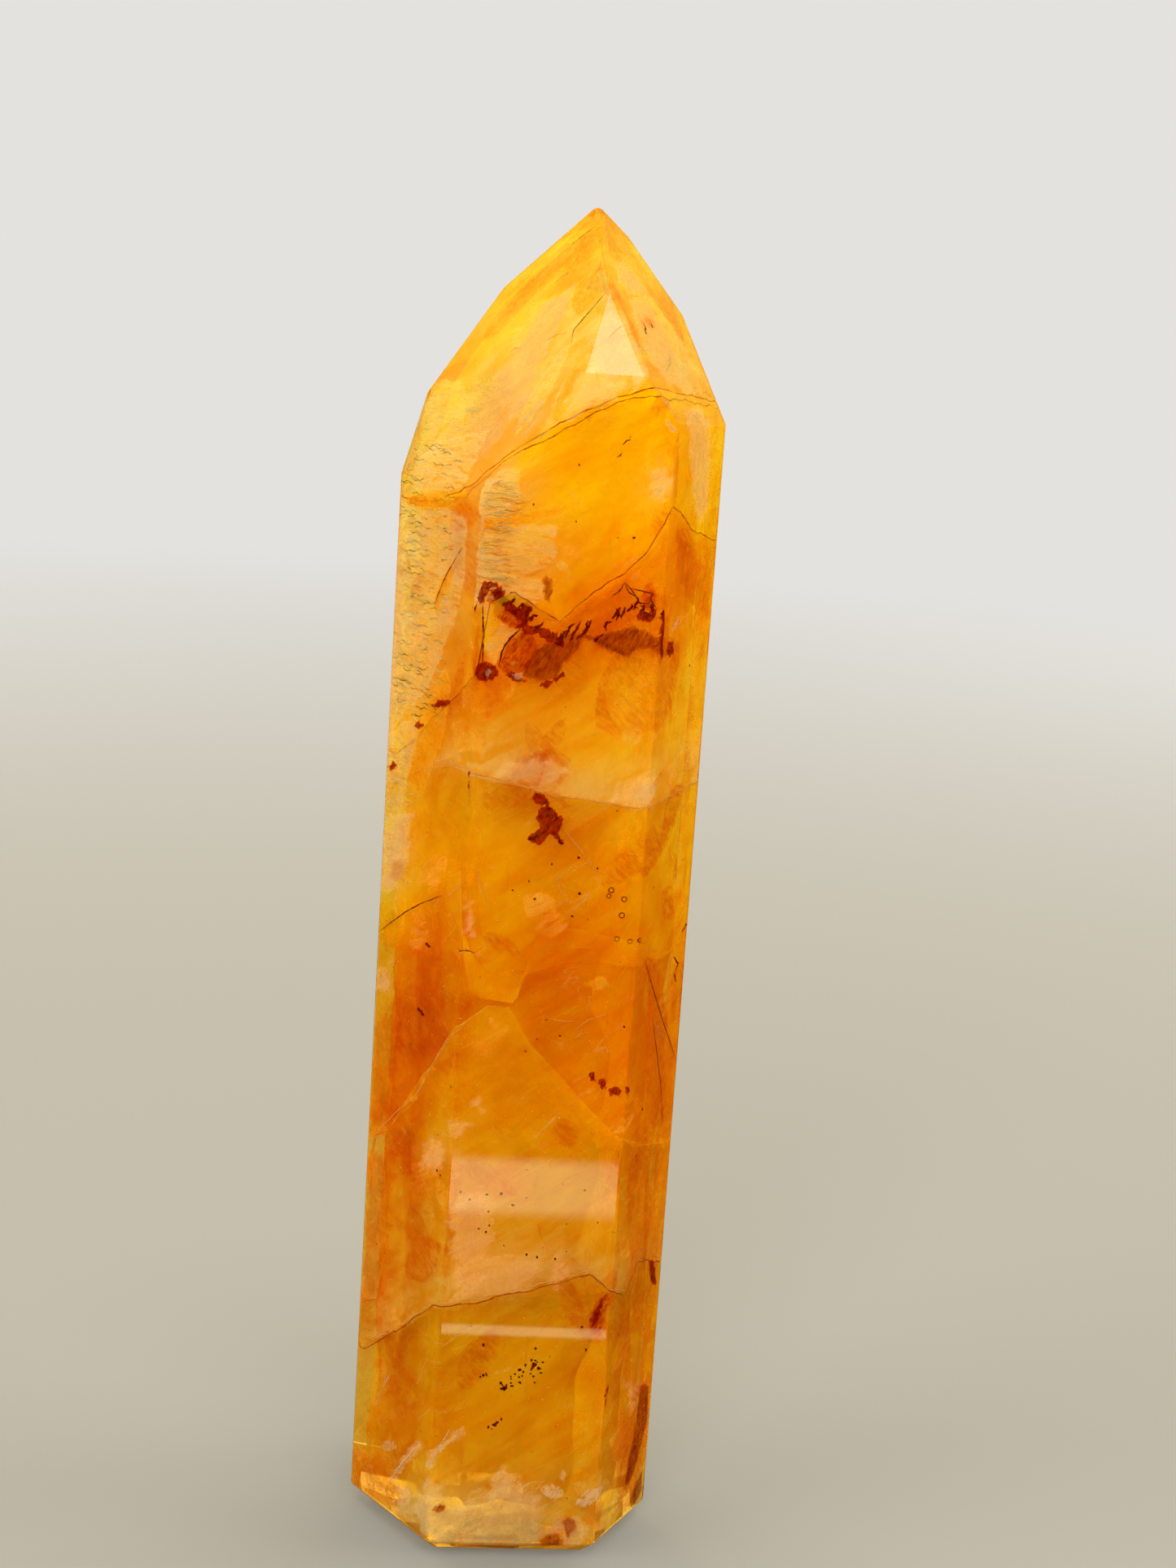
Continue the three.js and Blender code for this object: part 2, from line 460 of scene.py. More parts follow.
# --- The stained clouds ----------------------------------------------------------------
# Iron oxide spread through the quartz in thin clouds that follow the old growth faces, one
# just under the polish and two deeper. Each layer between two fractures has its own hue:
# olive gold at the foot, amber, peach, orange and a nearly clear gold tip.
# (layer, hue, milk): whole layers are fracture lines
layer_hues = [
    (0.0, "#FCF2A0", 0.9), (0.18, "#F0CC44", 0.62), (0.45, "#F0D020", 0.5), (0.99, "#F0D818", 0.5),
    # partly painted reflection: the pale milky hue just above the foot fracture (1.01) is stain and also
    # light its sheet mirrors from above
    (1.01, "#F8E878", 0.8), (1.25, "#F6DA40", 0.65), (1.6, "#F6DC18", 0.5), (1.99, "#F4D800", 0.5),
    (2.01, "#F2BC00", 0.6), (2.6, "#F2BC00", 0.5), (2.99, "#F2C000", 0.6), (3.01, "#FADC00", 0.5),
    (3.6, "#FCE410", 0.5), (3.99, "#FEF038", 0.6), (4.01, "#FFFA98", 0.8), (4.22, "#FFEE40", 0.6),
    (4.7, "#FFE208", 0.5), (4.99, "#FCCC00", 0.6), (5.01, "#FFF010", 0.45), (5.55, "#FFF418", 0.45),
    (5.99, "#FFE408", 0.65), (6.01, "#FFF890", 0.3), (6.5, "#FFF668", 0.3), (7.0, "#FFF640", 0.4)]
# (bearing, height, half width, half height, lean, strength): soft patches in a layer, sizes
# in millimetres, paler where the strength is above nothing and deeper below it
cloudy_patches = [
    (-3, 90.2, 2.6, 3.2, 0, 0.7), (55, 86.0, 2.0, 4.2, 0.3, 0.3), (82, 81.0, 1.8, 8.0, 0, 0.6),
    (29, 79.4, 2.2, 1.8, 0.3, 0.9), (23, 75.6, 3.4, 1.9, 0.1, 0.8), (23, 73.0, 2.8, 1.4, 0, 0.7),
    (-31, 80.7, 0.9, 1.6, 0, 0.7), (-60, 80.5, 1.8, 3.2, 0, 0.45), (62, 71.5, 4.2, 6.0, 0.3, 0.9),
    (82, 70.0, 4.0, 8.0, 0, 1.0), (25, 61.4, 3.5, 2.0, 0, 0.25), (1, 59.2, 5.5, 1.0, -0.15, 0.4),
    (-35, 58.5, 2.4, 0.9, 0, 0.6), (80, 52.0, 1.3, 2.8, 0, 1.0), (40, 30.8, 1.2, 1.3, 0, 0.9),
    (12, 22.0, 3.6, 1.9, 0.2, 0.8), (-18, 22.8, 3.2, 1.2, 0, 0.4), (20, 2.9, 5.2, 2.2, 0, 0.9),
    (46, 2.7, 2.0, 2.0, 0, 0.5), (-56, 74.5, 2.2, 3.4, 0, -0.6), (-20, 71.0, 3.2, 2.6, 0.4, -0.6),
    (14, 69.6, 3.0, 2.4, 0, -0.4), (-17, 47.0, 5.0, 4.4, 0.3, -0.4), (-62, 36.0, 4.0, 12.0, 0, -0.1),
    (68, 41.8, 2.6, 4.2, 0.4, -0.6), (-51, 14.0, 2.2, 6.0, 0, -0.3), (-12, 55.2, 4.2, 3.0, 0, -0.3),
    (75, 31.0, 1.6, 2.6, 0.3, -0.3), (150, 66, 5, 5, 0.4, 0.6), (-150, 45, 4, 6, -0.4, 0.6),
    (170, 24, 5, 3, 0.3, 0.7), (-110, 70, 3, 5, 0.3, -0.7), (120, 38, 3, 5, 0.5, -0.6),
    (-170, 58, 4, 3, 0.2, -0.6), (-125, 25, 3, 4, -0.3, 0.5), (140, 8, 5, 3, 0, 0.7),
    (84, 33, 2.4, 9, 0, -0.6), (62, 28, 2.5, 8, 0, -0.6), (84, 16, 2.4, 10, 0, -0.8),
    (-80, 36, 3, 11, 0, -0.3), (-76, 12, 3, 8, 0, -0.6), (60, 8, 3, 7, 0, -0.5), (-160, 4, 5, 2, 0, 0.8),
    (-100, 3, 4, 2, 0, 0.5), (-140, 84, 3, 4, 0.2, 0.5)]
top_of_crystal = 99.8
mean_radius = 10.5


def layer_share(bearings, heights):
    """Which layer each place on the crystal is in: 0 at the foot, a whole step of
    1 / (fractures + 1) at each fracture line in turn, 1 at the tip, even in between."""
    lines = [rim_heights(name, bearings) for name in fracture_rims]
    levels = [np.zeros_like(bearings, float), *lines, np.full_like(bearings, top_of_crystal, float)]
    share = np.zeros(np.broadcast(bearings, heights).shape)
    for low, high in zip(levels, levels[1:]):
        share += np.clip((heights - low) / (high - low), 0, 1)
    return share / (len(levels) - 1)


def patch_tone(bearings, heights):
    """How pale, above 0, or deep, below 0, the stain is at each place: the sum of the cloudy
    patches, each a bell curve across and up, its height leaning with the way across."""
    tone = np.zeros(np.broadcast(bearings, heights).shape)
    for bearing, height, half_width, half_height, lean, strength in cloudy_patches:
        across = ((bearing - bearings + 180) % 360 - 180) * pi / 180 * mean_radius
        up = heights - height - lean * across
        tone += strength * np.exp(-(across / half_width) ** 2 - (up / half_height) ** 2)
    return np.clip(tone, -1, 1)


def cloud_film(name, milk_share, grain, mottle):
    """A stained cloud: its hue and milk come from the attribute layer, torn a little at the
    fractures. The attribute tone makes it paler or deeper, in streaks that rise to one
    side, pale veins run through it, and darker mottles are as wide as the grain."""
    film, add = new_material("iron-stained cloud " + name)
    place = add("TexCoord").outputs["Object"]
    combed = add("Mapping", {
        "vector_type": "TEXTURE", 0: place, "Rotation": (0.0, -radians(35), 0.0), "Scale": (4.0, 1.5, 1.0)})
    torn = add("TexNoise", {"Vector": place, "Scale": 1 / (1.2 * MM), "Detail": 4.0})
    width = grain * MM
    feather = add("TexNoise", {
        "Vector": combed, "Scale": 1 / (0.8 * width), "Detail": 4.0, "Roughness": 0.62, "Distortion": 0.4})
    haze = add("TexNoise", {"Vector": place, "Scale": 1 / (3.0 * width), "Detail": 4.0, "Roughness": 0.6})
    veins = add("TexNoise", {
        "Vector": combed, "Scale": 1 / (2.4 * width), "Detail": 3.5, "Roughness": 0.55, "Distortion": 1.4})

    layer = add("Attribute", {"attribute_name": "layer"}).outputs["Fac"]
    shift = add("MapRange", {0: torn, 1: 0.3, 2: 0.7, 3: -0.004, 4: 0.004})
    moved = add("Math", {"operation": "ADD", 0: layer, 1: shift})
    hue = add("ValToRGB", {0: moved})
    milkiness = add("ValToRGB", {0: moved})
    stops = [node.color_ramp.elements for node in (hue, milkiness)]
    for elements in stops:
        while len(elements) < len(layer_hues):
            elements.new(0.5)
    for (step, colour, milk), one, other in zip(layer_hues, *stops):
        one.position = other.position = step / (len(fracture_rims) + 1)
        one.color = linear(colour)
        other.color = (milk, milk, milk, 1.0)

    tone = add("Attribute", {"attribute_name": "tone"}).outputs["Fac"]
    streaks = add("MapRange", {0: feather, 1: 0.3, 2: 0.7, 3: 0.5, 4: 1.5})
    tone = add("Math", {"operation": "MULTIPLY", 0: tone, 1: streaks})
    pale = add("MapRange", {0: tone, 1: 0.0, 2: 1.0})
    deep = add("MapRange", {0: tone, 1: 0.0, 2: -1.0})
    off_vein = add("MapRange", {0: veins, 1: 0.49, 2: 0.51, 3: -1.0, 4: 1.0})
    off_vein = add("Math", {"operation": "ABSOLUTE", 0: off_vein})
    veined = add("MapRange", {0: haze, 1: 0.48, 2: 0.6, 3: 0.0, 4: 0.7})
    less = add("Math", {"operation": "MULTIPLY", 0: veined, 1: -1.0})
    vein = add("Math", {"operation": "MULTIPLY_ADD", 0: off_vein, 1: less, 2: veined})
    pale = add("Math", {"operation": "MAXIMUM", 0: pale, 1: vein})
    hue = add("Mix", {"data_type": "RGBA", 0: pale, 6: hue, 7: linear("#FFF0A8")}).outputs[2]
    hue = add("Mix", {"data_type": "RGBA", 0: deep, 6: hue, 7: linear("#E06808")}).outputs[2]
    share = add("MapRange", {0: feather, 1: 0.44, 2: 0.60})
    hue = add("Mix", {
        "data_type": "RGBA", "blend_type": "MULTIPLY", 0: share, 6: hue, 7: linear(mottle)}).outputs[2]

    uneven = add("MapRange", {0: haze, 1: 0.35, 2: 0.65, 3: 0.5 * milk_share, 4: 1.3 * milk_share})
    fuller = add("Math", {"operation": "MULTIPLY_ADD", 0: pale, 1: 0.6, 2: 1.0})
    milk = add("Math", {"operation": "MULTIPLY", 0: milkiness, 1: uneven})
    milk = add("Math", {"operation": "MULTIPLY", "use_clamp": True, 0: milk, 1: fuller})
    through = add("Gamma", {0: hue, "Gamma": thin_stain})
    add("OutputMaterial", {"Surface": film_shader(add, through, hue, milk)})
    return film


def stain_cloud(name, film, depth, wander, spokes, ring_count, crown, foot, seed, side_depth=1.0):
    """A closed film that follows every face of the crystal from crown to foot: at each height
    and bearing it lies where a level line from the middle meets the facets, less the depth
    and a ripple of up to wander. At the sides and the back it keeps the side depth's share
    of both. Its attribute layer says where it is between the fractures, and tone how pale
    or deep its stain is there."""
    heights = crown + (foot - crown) * np.linspace(0, 1, ring_count)[:, None] ** 0.8
    bearings = -np.arange(spokes)[None] * 360 / spokes
    directions = bearing_way(bearings)
    turn = np.radians(bearings)
    sunk = depth + wander * (1 + ripple(10 * np.cos(turn), heights + 10 * np.sin(turn), 14.0, seed)) / 2
    side = np.clip((abs((bearings + 180) % 360 - 180) - 62) / 14, 0, 1)
    sunk = sunk * (1 - (1 - side_depth) * side)
    middle = axis_point(heights)
    out = (reach(middle, directions) - sunk).clip(0.02)
    rings = middle + out[..., None] * directions
    rings[0] = rings[0].mean(axis=0)
    bearings = np.broadcast_to(bearings, out.shape)
    heights = np.broadcast_to(heights, out.shape)
    disc(name, inside(rings, min(depth, 0.2)), film,
         layer=layer_share(bearings, heights), tone=patch_tone(bearings, heights))


skin = cloud_film("stained_skin", 0.45, 1.5, "#F2D458")
stain_cloud("stained_skin", skin, 0.9, 0.5, 280, 330, crown=98.3, foot=0.8, seed=11, side_depth=0.25)
inner = cloud_film("inner_cloud", 0.8, 2.8, "#FFE468")
stain_cloud("inner_cloud", inner, 2.2, 1.4, 200, 140, crown=93.0, foot=1.8, seed=12)
core = cloud_film("core_cloud", 1.4, 3.6, "#FFE468")
stain_cloud("core_cloud", core, 5.0, 2.0, 140, 110, crown=87.0, foot=2.6, seed=13)


# --- Plates and flakes in the fractures ------------------------------------------------
# Thin crystals of iron oxide that grew on the fractures: dark red hematite plates with
# torn edges, rusty patches round them, and milky and striated patches where the crack
# only half healed. Each lies just under a face.
def facet(bearing, rise):
    """The number of the facet that looks nearest to a bearing, and up by the rise for each
    step out."""
    return (facet_normals @ (bearing_way(float(bearing)) + np.array([0, 0, rise]))).argmax()


tip_rise = 0.53
face_numbers = {}
for name, bearing in (("front", 0), ("left", 60), ("right", -60)):
    face_numbers[name] = facet(bearing, 0)
    face_numbers[name + "_tip"] = facet(bearing, tip_rise)
faces = {name: (facet_normals[number], facet_distances[number]) for name, number in face_numbers.items()}


def under_face(face, across, height, depth):
    """Points sunk under a face by a depth: across runs level to the right as seen from
    outside, and height up from the foot, all in millimetres."""
    normal, distance = faces[face]
    level = np.array([normal[0], normal[1], 0.0])
    level /= np.linalg.norm(level)
    side = np.cross([0.0, 0.0, 1.0], level)
    out = (distance - depth - normal[2] * height) / (normal @ level)
    return across[..., None] * side + out[..., None] * level + height[..., None] * np.array([0.0, 0.0, 1.0])


def many(name, material, points, faces_of_one, **values):
    """One mesh of equal pieces: points[k] are the corners of piece k in millimetres, all
    joined in the same way, and none is nearer to a face than 0.06."""
    pieces, corners = points.shape[:2]
    joined = faces_of_one[None] + np.arange(pieces)[:, None, None] * corners
    values = {key: value.ravel() for key, value in values.items()}
    sealed(name, inside(points.reshape(-1, 3), 0.06), joined.reshape(-1, faces_of_one.shape[1]).tolist(),
           material, **values)


def depth_inside(outline, across, height):
    """How far each place lies inside an outline, below 0 outside it: the distance to the
    nearest side, and inside where a level line to the right crosses an odd number of sides."""
    side = np.roll(outline, -1, axis=0) - outline
    place = np.stack([across, height], axis=-1)[..., None, :] - outline
    share = ((place * side).sum(axis=-1) / (side ** 2).sum(axis=-1)).clip(0, 1)
    apart = np.linalg.norm(place - share[..., None] * side, axis=-1).min(axis=-1)
    spans = (place[..., 1] >= 0) != (place[..., 1] >= side[:, 1])
    slope = side[:, 0] / np.where(side[:, 1] == 0, 1e-9, side[:, 1])
    crossed = spans & (place[..., 0] < slope * place[..., 1])
    return np.where(crossed.sum(axis=-1) % 2 == 1, apart, -apart)


# Lines and spots are marked where the view shows them, as (right, down) in pixels from the
# top left corner of its frame.
frame_size = np.array([1445, 1927])
lens_pixels = camera_data.lens / camera_data.sensor_width * frame_size[1]


def seen_under(face, depth, pixels):
    """The (across, height) in millimetres, to a hundredth, of what the view shows at pixels
    and lies at a depth under a face: each line of sight is bent there by the quartz."""
    normal, distance = exact_facets[face_numbers[face]][:3], exact_facets[face_numbers[face]][3]
    turn, tip, roll = radians(view_turn), radians(view_down), radians(view_roll)
    ahead = np.array([sin(turn) * cos(tip), cos(turn) * cos(tip), -sin(tip)])
    level = np.array([cos(turn), -sin(turn), 0.0])
    up = np.cross(level, ahead)
    steps = (np.array(pixels) - frame_size / 2) / lens_pixels
    sight = (ahead + steps[:, :1] * (level * cos(roll) + up * sin(roll))
             - steps[:, 1:] * (up * cos(roll) - level * sin(roll)))
    sight /= np.linalg.norm(sight, axis=1, keepdims=True)
    eye = np.array(view_position) / MM
    slant = -(sight @ normal)[:, None]
    met = eye + sight * (normal @ eye - distance) / slant
    straight = slant / quartz_index - np.sqrt(1 - (1 - slant ** 2) / quartz_index ** 2)
    bent = sight / quartz_index + straight * normal
    place = met - bent * depth / (bent @ normal)[:, None]
    side = np.cross([0.0, 0.0, 1.0], [normal[0], normal[1], 0.0])
    side /= np.linalg.norm(side)
    return np.round(np.stack([place @ side, place[:, 2]], axis=-1), 2)


def one_by_one(groups):
    """Each (face, depth, line) of groups (face, marked depth, depth, lines in pixels): a line
    is marked as seen at the first depth, and lies at the second."""
    return [(face, depth, seen_under(face, marked, line))
            for face, marked, depth, lines in groups for line in lines]


def flakes(name, material, groups, steps=36, margin=0.3):
    """Flakes under the faces: a grid over each outline's bounds, rippled a little, whose
    attribute edge is how far in millimetres each place lies inside the outline."""
    grids, edges = [], []
    share = np.linspace(0, 1, steps)
    for face, depth, outline in one_by_one(groups):
        outline = np.array(outline, float)
        low, high = outline.min(axis=0) - margin, outline.max(axis=0) + margin
        across, height = np.meshgrid(*(low + share[:, None] * (high - low)).T, indexing="ij")
        sunk = depth + 0.08 * ripple(across, height, 1.5, 5)
        grids.append(under_face(face, across, height, sunk).reshape(-1, 3))
        edges.append(depth_inside(outline, across, height))
    many(name, material, np.array(grids), grid_faces(steps, steps), edge=np.array(edges))


flake_stain = 0.6   # light passes a flake in its tint to this power


def inclusion(name, thin, thick, solid, eaten, grain, soft=0.1, milk=0.8, length=1.0, lean=0.0, gap=0.0,
              rim=0.3, thrown=0.45):
    """A flake of iron oxide or milky quartz. Noise of the grain, drawn out along a line that
    leans by degrees from the level, eats into its border by up to eaten millimetres and
    opens gaps in it. Its colour goes from thin at the border to thick a rim's width inside,
    unevenly."""
    film, add = new_material(name)
    drawn = add("Mapping", {
        "vector_type": "TEXTURE", 0: add("TexCoord").outputs["Object"],
        "Rotation": (0.0, -radians(lean), 0.0), "Scale": (length, length, 1.0)})
    noise = add("TexNoise", {
        "Vector": drawn, "Scale": 1 / (grain * MM), "Detail": 4.0, "Roughness": 0.65, "Distortion": 0.8})
    fine = add("TexNoise", {"Vector": drawn, "Scale": 2.7 / (grain * MM), "Detail": 3.5, "Roughness": 0.6})
    edge = add("Attribute", {"attribute_name": "edge"}).outputs["Fac"]
    bite = add("MapRange", {0: noise, 1: 0.3, 2: 0.7, 3: -0.8 * eaten, 4: 0.4 * eaten})
    left = add("Math", {"operation": "SUBTRACT", 0: edge, 1: bite})
    whole = add("MapRange", {0: left, 1: 0.0, 2: soft, 3: 0.0, 4: solid})
    holes = add("MapRange", {0: fine, 1: 0.36, 2: 0.6, 3: 1.0 - gap, 4: 1.0})
    cover = add("Math", {"operation": "MULTIPLY", 0: whole, 1: holes})
    inward = add("MapRange", {0: left, 1: 0.0, 2: rim, 3: -0.3, 4: 0.3})
    patchy = add("MapRange", {0: noise, 1: 0.36, 2: 0.64})
    depth = add("Math", {"operation": "ADD", "use_clamp": True, 0: inward, 1: patchy})
    tint = add("Mix", {"data_type": "RGBA", 0: depth, 6: linear(thin), 7: linear(thick)}).outputs[2]
    through = add("Gamma", {0: tint, "Gamma": flake_stain})
    flake = film_shader(add, through, tint, milk, thrown)
    add("OutputMaterial", {"Surface": add("MixShader", {0: cover, 1: add("BsdfTransparent"), 2: flake})})
    return film


# Hematite plates: nearly opaque and dark blood red, brighter where the torn border is thin.
hematite = inclusion("red hematite plate", "#C82C00", "#7A0C00", 1.0, 0.3, 0.35, soft=0.04, length=2.2,
                     lean=62, gap=0.2, rim=0.15)
flakes("hematite_plates", hematite, [
    ("front", 0.5, 0.3, [[(575, 735), (594, 716), (598, 713), (610, 717), (612, 721), (603, 721),
        (598, 732), (594, 741), (580, 740)],
        [(576, 829), (583, 820), (592, 813), (603, 815), (610, 820), (611, 829), (605, 836), (590, 836),
        (583, 831)]]),
    ("front", 0.6, 0.36, [[(811, 752), (818, 750), (824, 758), (822, 785), (818, 806), (812, 811),
        (810, 790)]]),
    ("left", 0.4, 0.08, [[(511, 892), (517, 888), (522, 891), (516, 896)],
        [(478, 942), (486, 936), (489, 940), (482, 946)]]),
    ("front", 0.4, 0.24, [[(566, 951), (571, 947), (575, 950), (570, 955)],
        [(567, 966), (571, 961), (575, 966), (571, 970)]]),
    ("front", 0.6, 0.36, [[(655, 983), (658, 972), (668, 977), (676, 986), (673, 991), (662, 988)]]),
    ("front", 0.7, 0.42, [[(662, 994), (674, 989), (682, 993), (689, 1005), (690, 1015), (685, 1022),
        (691, 1032), (687, 1035), (678, 1026), (674, 1024), (664, 1037), (658, 1036), (647, 1028),
        (655, 1024), (664, 1016), (660, 1005)]]),
    ("front", 0.6, 0.36, [[(748, 1340), (755, 1335), (763, 1340), (760, 1346), (750, 1345)]]),
    ("right", 0.5, 0.1, [[(796, 1549), (802, 1550), (804, 1577), (798, 1576)]]),
    ("front", 0.5, 0.3, [[(638, 774), (653, 769), (667, 771), (684, 779), (692, 787), (694, 797),
        (689, 795), (682, 786), (674, 788), (660, 779), (645, 778)],
        [(621, 829), (630, 826), (640, 832), (645, 837), (634, 837), (626, 833)],
        [(602, 726), (617, 721), (620, 732), (628, 741), (637, 748), (648, 740), (654, 747), (648, 758),
        (655, 759), (643, 771), (634, 772), (642, 763), (634, 759), (624, 751), (613, 741), (605, 733)],
        [(664, 842), (671, 835), (677, 838), (671, 845)],
        [(680, 834), (692, 826), (694, 830), (684, 837)]]),
    ("front", 0.4, 0.24, [[(742, 1715), (745, 1708), (750, 1709), (748, 1717)],
        [(751, 1708), (757, 1704), (758, 1712), (753, 1714)],
        [(744, 1726), (749, 1718), (752, 1722), (748, 1729)]]),
    ("right", 0.6, 0.13, [[(818, 788), (824, 790), (826, 800), (820, 808), (816, 800)]]),
    ("left", 0.4, 0.08, [[(533, 867), (542, 862), (550, 861), (557, 862), (550, 867), (540, 869)]]),
    ("front", 0.6, 0.36, [[(782, 757), (787, 750), (796, 752), (804, 749), (807, 757), (798, 764),
        (788, 762)]]),
    ("front", 0.5, 0.3, [[(727, 1632), (730, 1612), (741, 1594), (739, 1606), (733, 1624)],
        [(736, 1327), (743, 1327), (744, 1335), (738, 1336)],
        [(768, 1335), (773, 1336), (773, 1345), (769, 1346)],
        [(724, 1318), (730, 1318), (731, 1327), (726, 1328)]])])

# Hematite films: the same mineral too thin to be opaque, orange red and streaked.
red_film = inclusion("red hematite film", "#EC6C00", "#A82800", 0.95, 0.35, 0.45, soft=0.08, milk=0.6,
                     length=3.0, lean=55, gap=0.5)
flakes("hematite_films", red_film, [
    ("front", 0.6, 0.48, [[(598, 738), (604, 726), (617, 722), (619, 733), (628, 742), (637, 749),
        (648, 741), (653, 747), (646, 760), (653, 760), (641, 772), (635, 773), (622, 767), (612, 761),
        (607, 754), (605, 744)]]),
    ("front", 0.7, 0.56, [[(641, 774), (627, 787), (617, 804), (611, 819), (621, 826), (636, 829),
        (647, 826), (656, 813), (662, 798), (656, 784), (648, 776)]]),
    ("front", 0.6, 0.48, [[(789, 745), (792, 722), (799, 717), (805, 730), (806, 742), (800, 750)],
        [(746, 1586), (749, 1600), (743, 1624), (737, 1641), (726, 1638), (721, 1620), (730, 1602)]])])

# Brown iron films: mixed oxides, a dull brown with orange showing through the gaps.
brown_film = inclusion("brown iron film", "#D06C08", "#7E2400", 0.9, 0.3, 0.45, milk=0.6, length=3.0,
                       lean=65, gap=0.4)
flakes("brown_films", brown_film, [
    ("front", 0.35, 0.28, [[(530, 1856), (536, 1850), (544, 1848), (545, 1854), (538, 1859)]]),
    ("front", 0.7, 0.56, [[(656, 798), (668, 792), (683, 786), (700, 778), (716, 780), (712, 796),
        (700, 808), (692, 818), (687, 831), (674, 836), (658, 835), (641, 831), (645, 819), (652, 808)],
        [(703, 776), (716, 778), (730, 782), (749, 776), (779, 769), (796, 776), (810, 786), (818, 795),
        (812, 805), (800, 798), (786, 797), (773, 807), (757, 802), (740, 792), (722, 786)]]),
    ("front", 0.55, 0.44, [[(726, 782), (740, 787), (753, 791), (771, 803), (767, 807), (749, 801),
        (736, 795)]]),
    ("front", 0.4, 0.32, [[(691, 1870), (698, 1864), (706, 1868), (708, 1876), (701, 1882), (698, 1891),
        (694, 1880)], [(664, 1893), (672, 1886), (684, 1884), (690, 1892), (685, 1903), (672, 1904)]]),
    ("front", 0.35, 0.28, [[(535, 1853), (540, 1848), (546, 1851), (541, 1856)]]),
    ("right", 0.5, 0.14, [[(786, 1700), (796, 1702), (794, 1740), (788, 1770), (780, 1800), (772, 1822),
        (766, 1826), (770, 1796), (778, 1760), (782, 1728)],
        [(770, 1850), (778, 1826), (788, 1806), (787, 1832), (778, 1850)]]),
    ("front", 0.4, 0.32, [[(667, 712), (672, 708), (679, 714), (679, 728), (675, 740), (670, 738),
        (668, 726)]])])

